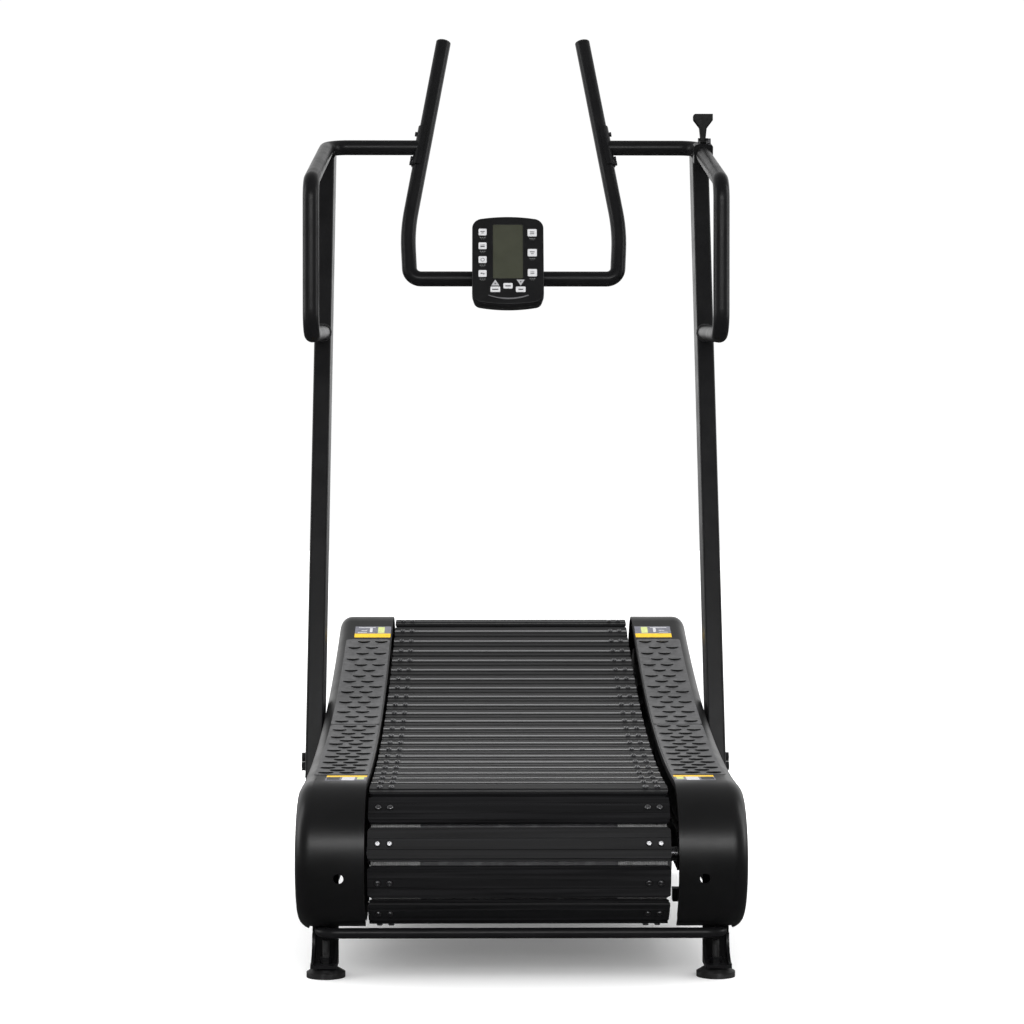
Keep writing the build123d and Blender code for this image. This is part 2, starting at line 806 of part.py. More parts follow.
# The handlebar: two horns that lean out and forward from one bottom bar.
with BuildPart() as handlebar:
    with BuildLine() as bar_path:
        FilletPolyline(
            lean_point(-horn_top_x, horn_top_z),
            lean_point(-horn_knee_x, horn_knee_z),
            lean_point(-bar_corner_x, bar_z),
            lean_point(bar_corner_x, bar_z),
            lean_point(horn_knee_x, horn_knee_z),
            lean_point(horn_top_x, horn_top_z),
            radius=(horn_knee_radius, bar_corner_radius, bar_corner_radius, horn_knee_radius),
        )
    with BuildSketch(Plane(bar_path.line @ 0, z_dir=bar_path.line % 0)):
        tube_section()
    sweep()
save(handlebar, "handlebar")

# Plastic plugs in the horns' top ends.
horn_end = Plane(
    origin=lean_point(horn_top_x, horn_top_z), x_dir=(1, 0, 0), z_dir=horn_way
)
with BuildPart() as handlebar_caps:
    with BuildSketch(horn_end):
        Circle(tube_radius)
    extrude(amount=cap_head)
    fillet(handlebar_caps.faces().sort_by(Axis.Z)[-1].edges(), radius=1.2)
    with BuildSketch(horn_end):
        Circle(tube_radius - tube_wall - 0.05)
    extrude(amount=-cap_length)
    mirror(about=Plane.YZ)
save(handlebar_caps, "handlebar_caps")

# Half-round saddles on the horns, where the handrails meet them.
saddle_bolt_spots = [saddle_plane.offset(step) for step in saddle_bolt_steps]
with BuildPart() as saddle_brackets:
    with BuildSketch(saddle_plane.offset(-saddle_length / 2)):
        Circle(tube_radius + saddle_thickness)
        Circle(tube_radius + 0.05, mode=Mode.SUBTRACT)
        with Locations((-tube_radius - saddle_thickness, 0)):
            Rectangle(
                2 * tube_radius + saddle_thickness,
                3 * tube_radius,
                mode=Mode.SUBTRACT,
            )
    extrude(amount=saddle_length)
    mirror(about=Plane.YZ)
save(saddle_brackets, "saddle_brackets")

# All the frame's bolts: two hexagon bolts at each upright's foot, three button bolts a saddle.
with BuildPart() as frame_bolts:
    for height, y in bolt_middle_y.items():
        with BuildSketch(Plane.YZ.offset(upright_inner_x + upright_width)):
            with Locations((y, height)):
                RegularPolygon(frame_bolt_head_radius, 6)
        extrude(amount=frame_bolt_head)
        with BuildSketch(Plane.YZ.offset(beam_outer_x + 4)):
            with Locations((y, height)):
                Circle(frame_bolt_radius - 0.1)
        extrude(amount=upright_inner_x + upright_width - beam_outer_x - 4)
    for spot in saddle_bolt_spots:
        head = Plane(origin=spot.origin, x_dir=saddle_plane.z_dir, z_dir=saddle_plane.x_dir)
        with BuildSketch(head.offset(tube_radius + saddle_thickness + running_clearance)):
            Circle(saddle_bolt_radius)
        extrude(amount=saddle_bolt_head)
    mirror(about=Plane.YZ)
save(frame_bolts, "frame_bolts")

# ---- Belt ---------------------------------------------------------------------------------

half_width = slat_width / 2
slat_base = band_thickness / 2 + slat_foot_gap
plateau_half = 9.0
foot_half = 10.0
lip_width = 3.0
lip_top = slat_top - 3.9
shoulder_top = slat_top - 1.0
channel_top = 7.0
skirt_base = slat_base + 0.6
slat_bolt_xs = [
    side * (slat_length / 2 - inset) for side in (-1, 1) for inset in slat_bolt_insets
]

# One aluminium slat: a foot on the bands, a channel each side of it, and a raised middle.
with BuildPart() as slat:
    with BuildSketch(Plane.YZ.offset(-slat_length / 2)):
        with BuildLine():
            Polyline(
                (0, slat_base),
                (foot_half, slat_base),
                (foot_half + 1.5, channel_top),
                (half_width - lip_width + 0.5, channel_top),
                (half_width - lip_width + 0.5, skirt_base),
                (half_width, skirt_base),
                (half_width, lip_top),
                (half_width - lip_width, lip_top),
                (half_width - lip_width - 1, shoulder_top),
                (plateau_half + 1, shoulder_top),
                (plateau_half, slat_top),
                (0, slat_top),
            )
            mirror(about=Plane.YZ)
        make_face()
    extrude(amount=slat_length)
    with BuildSketch(Plane.XY):
        RectangleRounded(slat_length, slat_width, slat_corner)
    extrude(amount=slat_top + 1, mode=Mode.INTERSECT)
    with Locations(*[(x, 0, slat_top / 2) for x in slat_bolt_xs]):
        Cylinder(slat_bolt_radius + hole_clearance, slat_top + 2, mode=Mode.SUBTRACT)

# One button-head bolt, as it sits in a slat, with a hexagon socket.
with BuildPart() as slat_bolt:
    with BuildSketch(Plane.XY.offset(slat_top)):
        Circle(slat_bolt_head_radius)
    extrude(amount=slat_bolt_head_height)
    fillet(slat_bolt.edges().sort_by(Axis.Z)[-1], radius=1.8)
    with BuildSketch(Plane.XY.offset(slat_top + slat_bolt_head_height)):
        RegularPolygon(2.2, 6)
    extrude(amount=-1.8, mode=Mode.SUBTRACT)
    with BuildSketch(Plane.XY.offset(slat_top)):
        Circle(slat_bolt_radius)
    extrude(amount=slat_base - slat_top)


def group_slats(group):
    """All the slats of one group, as separate solids."""
    with BuildPart() as slats:
        with Locations(*[slat_place(index) for index in slat_groups[group]]):
            add(slat.part)
    return slats


def group_bolts(group):
    """Four bolts for each slat of one group."""
    spots = [
        slat_place(index) * Location((x, 0, 0)) for index in slat_groups[group] for x in slat_bolt_xs
    ]
    with BuildPart() as bolts:
        with Locations(*spots):
            add(slat_bolt.part)
    return bolts


def group_bands(group):
    """The two rubber bands under one group's slats."""
    indexes = slat_groups[group]
    start = first_slat + belt_pitch * (indexes[0] - 0.5) + band_end_gap / 2
    stop = first_slat + belt_pitch * (indexes[-1] + 0.5) - band_end_gap / 2
    with BuildPart() as bands:
        for side in (-1, 1):
            with BuildSketch(Plane.YZ.offset(belt_middle_x + side * band_offset - band_width / 2)):
                add(belt_strip(start, stop, -band_thickness / 2, band_thickness / 2))
            extrude(amount=band_width)
    return bands


for group in slat_groups:
    save(group_slats(group), "slats_" + group)
    save(group_bolts(group), "slat_bolts_" + group)
    save(group_bands(group), "bands_" + group)

# ---- Drums and shafts ---------------------------------------------------------------------


def drum_at(y, z):
    """A hollow drum: a tube closed near each end by a disc with a bore for its shaft."""
    with BuildPart() as drum:
        with BuildSketch(Plane.YZ.offset(drum_low_x)):
            with Locations((y, z)):
                Circle(drum_radius)
                Circle(drum_radius - drum_wall, mode=Mode.SUBTRACT)
        extrude(amount=2 * drum_half_length)
        for x in (drum_low_x + drum_disc, belt_middle_x + drum_half_length - 2 * drum_disc):
            with BuildSketch(Plane.YZ.offset(x)):
                with Locations((y, z)):
                    Circle(drum_radius - drum_wall / 2)
                    Circle(shaft_radius, mode=Mode.SUBTRACT)
            extrude(amount=drum_disc)
    return drum


def shaft_at(y, z, low_x, high_x):
    """A plain round shaft along X, chamfered at its ends."""
    with BuildPart() as shaft:
        with BuildSketch(Plane.YZ.offset(low_x)):
            with Locations((y, z)):
                Circle(shaft_radius)
        extrude(amount=high_x - low_x)
        chamfer(shaft.edges().filter_by(GeomType.CIRCLE), length=1.0)
    return shaft


save(drum_at(rear_y, rear_drum_height), "rear_drum")
save(drum_at(front_y, front_drum_height), "front_drum")
save(shaft_at(rear_y, rear_drum_height, -shaft_end, shaft_end), "rear_shaft")
save(shaft_at(front_y, front_drum_height, -shaft_end, front_shaft_end), "front_shaft")

# ---- Magnetic resistance ------------------------------------------------------------------

# Flywheel on the front shaft's right end, with a ring of lightening holes.
with BuildPart() as flywheel:
    with BuildSketch(Plane.YZ.offset(flywheel_x)):
        with Locations((front_y, front_drum_height)):
            Circle(flywheel_radius)
            Circle(shaft_radius, mode=Mode.SUBTRACT)
            with PolarLocations(flywheel_radius * 0.5, 6):
                Circle(flywheel_radius * 0.13, mode=Mode.SUBTRACT)
    extrude(amount=flywheel_thickness)
    with BuildSketch(Plane.YZ.offset(flywheel_hub_x)):
        with Locations((front_y, front_drum_height)):
            Circle(flywheel_hub_radius)
            Circle(shaft_radius, mode=Mode.SUBTRACT)
    extrude(amount=flywheel_hub_length)
save(flywheel, "flywheel")

# Caliper: two arms astride the flywheel's rim, magnets on their tips, turning on the beam's stud.
brake_tip_y = front_y + brake_tip[0]
brake_tip_z = front_drum_height + brake_tip[1]
brake_arm_gap = 2 * (flywheel_x - brake_arm_inner_x - brake_arm_thickness) + flywheel_thickness
brake_arm = complex(brake_tip_y - brake_stud_y, brake_tip_z - brake_stud_z)
brake_arm_angle = degrees(atan2(brake_arm.imag, brake_arm.real))
arm_outer_x = brake_arm_inner_x + brake_arm_thickness + brake_arm_gap
with BuildPart() as brake_caliper:
    for x in (brake_arm_inner_x, arm_outer_x):
        with BuildSketch(Plane.YZ.offset(x)):
            with Locations(((brake_stud_y + brake_tip_y) / 2, (brake_stud_z + brake_tip_z) / 2)):
                SlotCenterToCenter(abs(brake_arm), 2 * brake_arm_radius, rotation=brake_arm_angle)
            with Locations((brake_stud_y, brake_stud_z)):
                Circle(brake_pin_radius + running_clearance, mode=Mode.SUBTRACT)
        extrude(amount=brake_arm_thickness)
    with BuildSketch(Plane.YZ.offset(brake_arm_inner_x + brake_arm_thickness)):
        with Locations((brake_stud_y, brake_stud_z)):
            Circle(brake_arm_radius)
            Circle(brake_pin_radius + running_clearance, mode=Mode.SUBTRACT)
    extrude(amount=brake_arm_gap)
    for x in (brake_arm_inner_x + brake_arm_thickness, arm_outer_x - magnet_thickness):
        with BuildSketch(Plane.YZ.offset(x)):
            with Locations((brake_tip_y, brake_tip_z)):
                Circle(magnet_radius)
        extrude(amount=magnet_thickness)
save(brake_caliper, "brake_caliper")

# Clamp on the right handrail, with two ears that hold the lever's pin.
lever_spot_y = rear_y + lever_y
lever_rail_z = crossbar_z - (crossbar_y - lever_spot_y) * tan(rail_slope)
rail_plane = Plane(
    origin=(rail_x, lever_spot_y, lever_rail_z),
    x_dir=(1, 0, 0),
    z_dir=(0, cos(rail_slope), sin(rail_slope)),
)
ear_low_x = rail_x - lever_hub_width / 2 - key_gap - lever_ear_thickness
ear_high_x = rail_x + lever_hub_width / 2 + key_gap
with BuildPart() as lever_clamp:
    with BuildSketch(rail_plane.offset(-clamp_length / 2)):
        RectangleRounded(*clamp_size, clamp_corner)
    extrude(amount=clamp_length)
    for x in (ear_low_x, ear_high_x):
        with BuildSketch(Plane.YZ.offset(x)):
            with Locations((lever_spot_y, lever_axis_z)):
                Circle(lever_ear_radius)
            with Locations((lever_spot_y, lever_axis_z - lever_ear_radius)):
                Rectangle(2 * lever_ear_radius, 2 * lever_ear_radius)
        extrude(amount=lever_ear_thickness)
    for radius, low_x, high_x in (
        (lever_pin_radius, ear_low_x, ear_high_x + lever_ear_thickness),
        (lever_hub_radius + 1, ear_low_x + lever_ear_thickness, ear_high_x),
        (lever_knob[0] + 1, ear_high_x + lever_ear_thickness, rail_x + clamp_size[0]),
    ):
        with BuildSketch(Plane.YZ.offset(low_x)):
            with Locations((lever_spot_y, lever_axis_z)):
                Circle(radius)
        extrude(amount=high_x - low_x, mode=Mode.SUBTRACT)
    with BuildSketch(rail_plane.offset(-clamp_length)):
        Circle(tube_radius + running_clearance)
    extrude(amount=2 * clamp_length, mode=Mode.SUBTRACT)
save(lever_clamp, "lever_clamp")

# The lever: a mushroom-shaped grip that narrows to a flat stem, with a hub between the ears.
lever_front = Plane.XZ.offset(lever_depth / 2 - lever_spot_y)
with BuildPart() as resistance_lever:
    with BuildSketch(lever_front) as lever_sketch:
        with BuildLine():
            Polyline(
                (rail_x, lever_top_z),
                (rail_x + lever_head_half, lever_top_z),
                (rail_x + lever_head_half, lever_head_low_z),
                (rail_x + lever_neck[0], lever_neck[1]),
                (rail_x + lever_stem_half, lever_axis_z),
                (rail_x - lever_stem_half, lever_axis_z),
                (rail_x - lever_neck[0], lever_neck[1]),
                (rail_x - lever_head_half, lever_head_low_z),
                (rail_x - lever_head_half, lever_top_z),
                close=True,
            )
        make_face()
        head_corners = lever_sketch.vertices().sort_by(Axis.Z)[-5:]
        fillet(head_corners.sort_by(Axis.X)[:2] + head_corners.sort_by(Axis.X)[-2:], radius=lever_corner)
    extrude(amount=-lever_depth)
    rim = resistance_lever.faces().filter_by(Axis.Y).edges()
    fillet(rim.filter_by_position(Axis.Z, lever_neck[1], lever_top_z), radius=lever_rounding)
    with BuildSketch(Plane.YZ.offset(rail_x - lever_hub_width / 2)):
        with Locations((lever_spot_y, lever_axis_z)):
            Circle(lever_hub_radius)
    extrude(amount=lever_hub_width)
    with BuildSketch(Plane.YZ.offset(rail_x - lever_hub_width)):
        with Locations((lever_spot_y, lever_axis_z)):
            Circle(lever_pin_radius + running_clearance)
    extrude(amount=2 * lever_hub_width, mode=Mode.SUBTRACT)
save(resistance_lever, "resistance_lever")

# The lever's pin, with a friction knob on its outer end.
with BuildPart() as lever_pin:
    with BuildSketch(Plane.YZ.offset(ear_low_x)):
        with Locations((lever_spot_y, lever_axis_z)):
            Circle(lever_pin_radius - 0.01)
    extrude(amount=ear_high_x + lever_ear_thickness - ear_low_x)
    with BuildSketch(Plane.YZ.offset(ear_high_x + lever_ear_thickness)):
        with Locations((lever_spot_y, lever_axis_z)):
            RegularPolygon(lever_knob[0], 12)
    extrude(amount=lever_knob[1])
save(lever_pin, "lever_pin")

# ---- Console ------------------------------------------------------------------------------


def console_outline(width, height, crown, corner):
    """Console outline: straight sides, crowned top and bottom, rounded corners."""
    with BuildSketch() as outline:
        half_w, half_h = width / 2, height / 2
        with BuildLine():
            ThreePointArc((-half_w, half_h - crown), (0, half_h), (half_w, half_h - crown))
            Line((half_w, half_h - crown), (half_w, crown - half_h))
            ThreePointArc((half_w, crown - half_h), (0, -half_h), (-half_w, crown - half_h))
            Line((-half_w, crown - half_h), (-half_w, half_h - crown))
        make_face()
        fillet(outline.vertices(), radius=corner)
    return outline.sketch


def front_most(builder):
    """The face that lies nearest the runner, square to the console's own axis."""
    return builder.faces().sort_by(lambda face: console_face.to_local_coords(face.center()).Z)[-1]


with BuildPart() as console_front_shell:
    with BuildSketch(console_face):
        add(console_outline(console_width, console_height, console_crown, console_corner))
    extrude(amount=-console_front_depth)
    fillet(front_most(console_front_shell).edges(), radius=console_edge)
    with BuildSketch(console_face.offset(-console_wall)):
        add(
            console_outline(
                console_width - 2 * console_wall,
                console_height - 2 * console_wall,
                console_crown,
                console_corner - console_wall,
            )
        )
    extrude(amount=-console_front_depth, mode=Mode.SUBTRACT)
    with BuildSketch(console_face.offset(1)):
        with Locations((0, screen_v)):
            RectangleRounded(*screen_size, 2)
        for u, v, width, height in console_keys.values():
            with Locations((u, v)):
                RectangleRounded(width, height, key_corner)
    extrude(amount=-console_wall - 2, mode=Mode.SUBTRACT)
save(console_front_shell, "console_front_shell")

with BuildPart() as console_back_shell:
    with BuildSketch(console_face.offset(-console_front_depth)):
        add(console_outline(console_width, console_height, console_crown, console_corner))
    with BuildSketch(console_face.offset(-console_front_depth - console_back_depth)):
        add(
            console_outline(
                console_width - console_taper,
                console_height - console_taper,
                console_crown,
                console_back_corner,
            )
        )
    loft()
    with BuildSketch(console_face.offset(-console_front_depth)):
        add(
            console_outline(
                console_width - 2 * console_wall - console_taper,
                console_height - 2 * console_wall - console_taper,
                console_crown,
                console_back_corner - console_wall,
            )
        )
    extrude(amount=console_wall - console_back_depth, mode=Mode.SUBTRACT)
save(console_back_shell, "console_back_shell")

with BuildPart() as lcd_lens:
    with BuildSketch(console_face.offset(-console_wall)):
        with Locations((0, screen_v)):
            RectangleRounded(screen_size[0] - 0.2, screen_size[1] - 0.2, 2)
    extrude(amount=console_wall - 0.4)
save(lcd_lens, "lcd_lens")

with BuildPart() as circuit_board:
    with BuildSketch(console_face.offset(-board_depth)):
        RectangleRounded(*board_size, 6)
    extrude(amount=-board_thickness)
save(circuit_board, "circuit_board")


def key_at(u, v, width, height):
    """A rounded key cap with a flange that keeps it behind the console's face."""
    with BuildPart() as key:
        with BuildSketch(console_face.offset(-console_wall - key_gap - key_flange)):
            with Locations((u, v)):
                RectangleRounded(width + 2, height + 2, key_corner)
        extrude(amount=key_flange)
        with BuildSketch(console_face.offset(-console_wall - key_gap)):
            with Locations((u, v)):
                RectangleRounded(width - 2 * key_gap, height - 2 * key_gap, key_corner - key_gap)
        extrude(amount=console_wall + key_gap + key_rise)
        fillet(front_most(key).edges(), radius=0.8)
    return key


for name, place in console_keys.items():
    save(key_at(*place), name)

# Arm and clamp that hold the console on the handlebar's bottom bar.
bar_spot = console_face.to_local_coords(Vector(*lean_point(console_x, bar_z)))
back_depth = console_front_depth + console_back_depth
with BuildPart() as console_bracket:
    with BuildSketch(console_face.offset(-back_depth - 4)):
        Rectangle(70, 60)
    extrude(amount=4)
    with BuildSketch(console_face.offset(-back_depth - 4)):
        with Locations((0, bar_spot.Y)):
            Rectangle(40, 2 * tube_radius + 10)
    extrude(amount=bar_spot.Z - tube_radius - 6 + back_depth + 4)
    with BuildSketch(Plane.YZ.offset(console_x - 40)):
        with Locations((crossbar_y + (bar_z - crossbar_z) * lean_slope, bar_z)):
            Circle(tube_radius + 0.05)
    extrude(amount=80, mode=Mode.SUBTRACT)
save(console_bracket, "console_bracket")

# ---- Feet and wheels ----------------------------------------------------------------------


def foot_at(x):
    """Levelling foot: a chamfered pad on a threaded stem."""
    with BuildPart() as foot:
        with BuildSketch(Plane.XY):
            with Locations((x, bracket_y)):
                Circle(foot_radius)
        extrude(amount=foot_height)
        chamfer(foot.faces().sort_by(Axis.Z)[-1].edges(), length=6, length2=10)
        with BuildSketch(Plane.XY.offset(foot_height)):
            with Locations((x, bracket_y)):
                Circle(foot_stem_radius + 4)
        extrude(amount=foot_collar_height)
        with BuildSketch(Plane.XY.offset(foot_height)):
            with Locations((x, bracket_y)):
                Circle(foot_stem_radius)
        extrude(amount=foot_stem_top - foot_height)
    return foot


save(foot_at(-foot_x), "foot_left")
save(foot_at(foot_x), "foot_right")


def wheel_at(low_x):
    """Transport wheel with a recessed web, a hub and a rounded tread."""
    with BuildPart() as wheel:
        with BuildSketch(Plane.YZ.offset(low_x)):
            with Locations((leg_y, wheel_radius)):
                Circle(wheel_radius)
        extrude(amount=wheel_width)
        fillet(wheel.edges(), radius=4)
        for x, way in ((low_x, 1), (low_x + wheel_width, -1)):
            with BuildSketch(Plane.YZ.offset(x)):
                with Locations((leg_y, wheel_radius)):
                    Circle(wheel_radius * 0.7)
                    Circle(wheel_radius * 0.38, mode=Mode.SUBTRACT)
            extrude(amount=way * wheel_width * 0.3, mode=Mode.SUBTRACT)
        with BuildSketch(Plane.YZ.offset(low_x)):
            with Locations((leg_y, wheel_radius)):
                Circle(wheel_axle_radius + running_clearance)
        extrude(amount=wheel_width, mode=Mode.SUBTRACT)
    return wheel


save(wheel_at(wheel_inner_x), "wheel_right")
save(wheel_at(-wheel_inner_x - wheel_width), "wheel_left")
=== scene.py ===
import json
import math

import bmesh
import bpy
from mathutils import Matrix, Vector


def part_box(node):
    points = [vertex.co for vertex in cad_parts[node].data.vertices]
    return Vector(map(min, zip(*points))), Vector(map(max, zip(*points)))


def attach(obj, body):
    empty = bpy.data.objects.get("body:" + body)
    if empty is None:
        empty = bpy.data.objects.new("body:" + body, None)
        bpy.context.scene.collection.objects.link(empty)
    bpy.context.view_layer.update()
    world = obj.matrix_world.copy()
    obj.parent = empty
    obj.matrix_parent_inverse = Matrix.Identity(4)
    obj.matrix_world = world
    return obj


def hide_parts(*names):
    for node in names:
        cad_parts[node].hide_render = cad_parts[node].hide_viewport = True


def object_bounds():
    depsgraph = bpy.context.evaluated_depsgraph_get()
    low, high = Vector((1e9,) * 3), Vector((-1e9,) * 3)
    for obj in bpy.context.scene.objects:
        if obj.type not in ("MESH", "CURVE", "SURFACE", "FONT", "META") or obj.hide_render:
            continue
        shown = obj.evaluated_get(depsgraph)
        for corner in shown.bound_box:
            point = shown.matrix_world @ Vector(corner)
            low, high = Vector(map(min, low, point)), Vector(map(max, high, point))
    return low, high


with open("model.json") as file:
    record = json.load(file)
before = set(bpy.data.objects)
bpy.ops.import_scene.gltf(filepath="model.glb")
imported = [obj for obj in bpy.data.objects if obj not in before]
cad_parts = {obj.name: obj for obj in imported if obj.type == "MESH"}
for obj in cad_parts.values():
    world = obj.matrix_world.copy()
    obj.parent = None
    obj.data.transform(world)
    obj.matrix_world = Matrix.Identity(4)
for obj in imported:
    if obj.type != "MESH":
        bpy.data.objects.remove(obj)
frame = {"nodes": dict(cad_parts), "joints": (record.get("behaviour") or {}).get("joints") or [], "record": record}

# Looks of the curved manual treadmill. Metres. +X is the runner's right, +Y the way they face.

cad_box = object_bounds()

# ---- The belt's path, from the joints and the boxes of the frame --------------------------

joints = {joint["name"]: joint for joint in frame["joints"]}
rear_centre = joints["rear_drum_spin"]["pos_m"]
front_centre = joints["front_drum_spin"]["pos_m"]
arc_centre = joints["belt_top_run"]["pos_m"]
band_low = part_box("bands_rear")[0]
# Belt sizes that the frame doesn't hold, as in the part's source.
BAND_HALF = 0.0025
BAND_WIDTH = 0.083
BELT_PITCH = 0.06
FIRST_SLAT = 0.0149
BAND_GAP = 0.002
# The first slat of each group and the one after its last.
SLAT_GROUPS = {"rear": (0, 6), "lower": (6, 28), "front": (28, 34), "top": (34, 55)}
GROUP_BODIES = {
    "rear": "rear_drum",
    "lower": "belt_lower",
    "front": "front_drum",
    "top": "belt_top",
}
rear_y, rear_z = rear_centre[1:]
front_y, front_z = front_centre[1:]
arc_z = arc_centre[2]
pitch_radius = rear_y - band_low.y - BAND_HALF
deck_radius = arc_z - rear_z
deck_angle = math.atan2(front_y - rear_y, arc_z - front_z)
wrap_run = math.pi * pitch_radius
lower_run = (deck_radius + pitch_radius) * deck_angle
belt_length = BELT_PITCH * SLAT_GROUPS["top"][1]


def belt_spot(distance, outward):
    """Y and Z at a distance along the belt from the top of the rear drum, backward first."""
    place = distance % belt_length
    if place <= wrap_run:
        y, z, radius = rear_y, rear_z, pitch_radius
        turn = place / pitch_radius
    elif place <= wrap_run + lower_run:
        y, z, radius = rear_y, arc_z, deck_radius + pitch_radius
        turn = math.pi + (place - wrap_run) / radius
    elif place <= 2 * wrap_run + lower_run:
        y, z, radius = front_y, front_z, pitch_radius
        turn = math.pi + deck_angle + (place - wrap_run - lower_run) / radius
    else:
        y, z, radius = rear_y, arc_z, pitch_radius - deck_radius
        turn = (belt_length - place) / -radius
    reach = radius + outward
    return y - reach * math.sin(turn), z + reach * math.cos(turn)


def deck_point(across, forward, outward):
    """Point over the deck: across in X, forward along the belt from the rear drum's top."""
    y, z = belt_spot(-forward, outward)
    return Vector((across, y, z))


# The left side is at negative X.
SIDES = ((-1, "left"), (1, "right"))

# ---- Materials ----------------------------------------------------------------------------

# Half a slat stripe and its soft edge, as shares of the belt pitch. On the top slats the stripe's light colour is
# a painted highlight.
STRIPE_HALF = 0.062
STRIPE_FADE = 0.008
# Whole slats added to a slat number, so that it never falls below nought.
STRIPE_SHIFT = 100
TOP_SHINE = 0.36
OTHER_SHINE = 0.13


class Surface:
    """A procedural material: one shader whose colour, roughness and bump come from noise."""

    def __init__(self, name, colour, roughness, metallic=0.0, specular=0.5, coat=0.0):
        self.material = bpy.data.materials.new(name)
        self.material.use_nodes = True
        self.nodes = self.material.node_tree.nodes
        self.links = self.material.node_tree.links
        self.shader = self.nodes["Principled BSDF"]
        self.colour = colour
        self.roughness = roughness
        self.shader.inputs["Base Color"].default_value = (*colour, 1)
        self.shader.inputs["Roughness"].default_value = roughness
        self.shader.inputs["Metallic"].default_value = metallic
        self.shader.inputs["Specular IOR Level"].default_value = specular
        self.shader.inputs["Coat Weight"].default_value = coat
        self.shader.inputs["Coat Roughness"].default_value = 0.25
        self.height = None
        self.material.diffuse_color = (*colour, 1)

    def noise(self, size, stretch=(1, 1, 1), detail=3.0, rough=0.55):
        """Noise whose blobs are about the given size across, stretched along an axis."""
        place = self.nodes.new("ShaderNodeTexCoord")
        mapping = self.nodes.new("ShaderNodeMapping")
        mapping.inputs["Scale"].default_value = [1 / (size * part) for part in stretch]
        texture = self.nodes.new("ShaderNodeTexNoise")
        texture.inputs["Scale"].default_value = 1
        texture.inputs["Detail"].default_value = detail
        texture.inputs["Roughness"].default_value = rough
        self.links.new(place.outputs["Object"], mapping.inputs["Vector"])
        self.links.new(mapping.outputs["Vector"], texture.inputs["Vector"])
        return texture.outputs["Fac"]

    def ranged(self, value, low, high, start=0.3, stop=0.7):
        """The value stretched from start..stop to low..high."""
        node = self.nodes.new("ShaderNodeMapRange")
        node.inputs["From Min"].default_value = start
        node.inputs["From Max"].default_value = stop
        node.inputs["To Min"].default_value = low
        node.inputs["To Max"].default_value = high
        self.links.new(value, node.inputs["Value"])
        return node.outputs["Result"]

    def mottle(self, size, dark, light, stretch=(1, 1, 1)):
        """Colour that drifts between a darker and a lighter share of the base colour."""
        ramp = self.nodes.new("ShaderNodeValToRGB")
        ramp.color_ramp.elements[0].position = 0.3
        ramp.color_ramp.elements[1].position = 0.7
        ramp.color_ramp.elements[0].color = (*[part * dark for part in self.colour], 1)
        ramp.color_ramp.elements[1].color = (*[part * light for part in self.colour], 1)
        self.links.new(self.noise(size, stretch), ramp.inputs["Fac"])
        self.links.new(ramp.outputs["Color"], self.shader.inputs["Base Color"])
        return self

    def wear(self, colour, size, share, stretch=(1, 1, 1)):
        """Patches of another colour, as dust, rub marks or bare metal, over the base."""
        source = self.shader.inputs["Base Color"].links[0].from_socket
        mix = self.nodes.new("ShaderNodeMix")
        mix.data_type = "RGBA"
        amount = self.ranged(self.noise(size, stretch, detail=6), 0, share, 0.5, 0.75)
        self.links.new(amount, mix.inputs["Factor"])
        self.links.new(source, mix.inputs["A"])
        mix.inputs["B"].default_value = (*colour, 1)
        self.links.new(mix.outputs["Result"], self.shader.inputs["Base Color"])
        return self

    def gloss(self, size, spread, stretch=(1, 1, 1)):
        """Roughness that drifts either side of its mean."""
        low, high = self.roughness - spread, self.roughness + spread
        value = self.ranged(self.noise(size, stretch), low, high)
        self.links.new(value, self.shader.inputs["Roughness"])
        return self

    def grain(self, size, depth, stretch=(1, 1, 1), detail=2.0):
        """Bump of one grain size. A second call adds to the first."""
        bump = self.nodes.new("ShaderNodeBump")
        bump.inputs["Strength"].default_value = 1
        bump.inputs["Distance"].default_value = depth
        self.links.new(self.noise(size, stretch, detail), bump.inputs["Height"])
        if self.height:
            self.links.new(self.height, bump.inputs["Normal"])
        self.height = bump.outputs["Normal"]
        self.links.new(self.height, self.shader.inputs["Normal"])
        return self

    def sum(self, operation, first, second):
        """One arithmetic step between two sockets or constants."""
        node = self.nodes.new("ShaderNodeMath")
        node.operation = operation
        for index, value in enumerate((first, second)):
            if isinstance(value, (int, float)):
                node.inputs[index].default_value = value
            else:
                self.links.new(value, node.inputs[index])
        return node.outputs["Value"]

    def blend(self, socket, amount, colour):
        """Mix a shader input towards a constant colour or number by an amount."""
        plug = self.shader.inputs[socket]
        mix = self.nodes.new("ShaderNodeMix")
        if isinstance(colour, tuple):
            mix.data_type = "RGBA"
            first, second, result = mix.inputs[6], mix.inputs[7], mix.outputs[2]
            second.default_value = (*colour, 1)
        else:
            first, second, result = mix.inputs[2], mix.inputs[3], mix.outputs[0]
            second.default_value = colour
        self.links.new(plug.links[0].from_socket, first)
        self.links.new(amount, mix.inputs[0])
        self.links.new(result, plug)

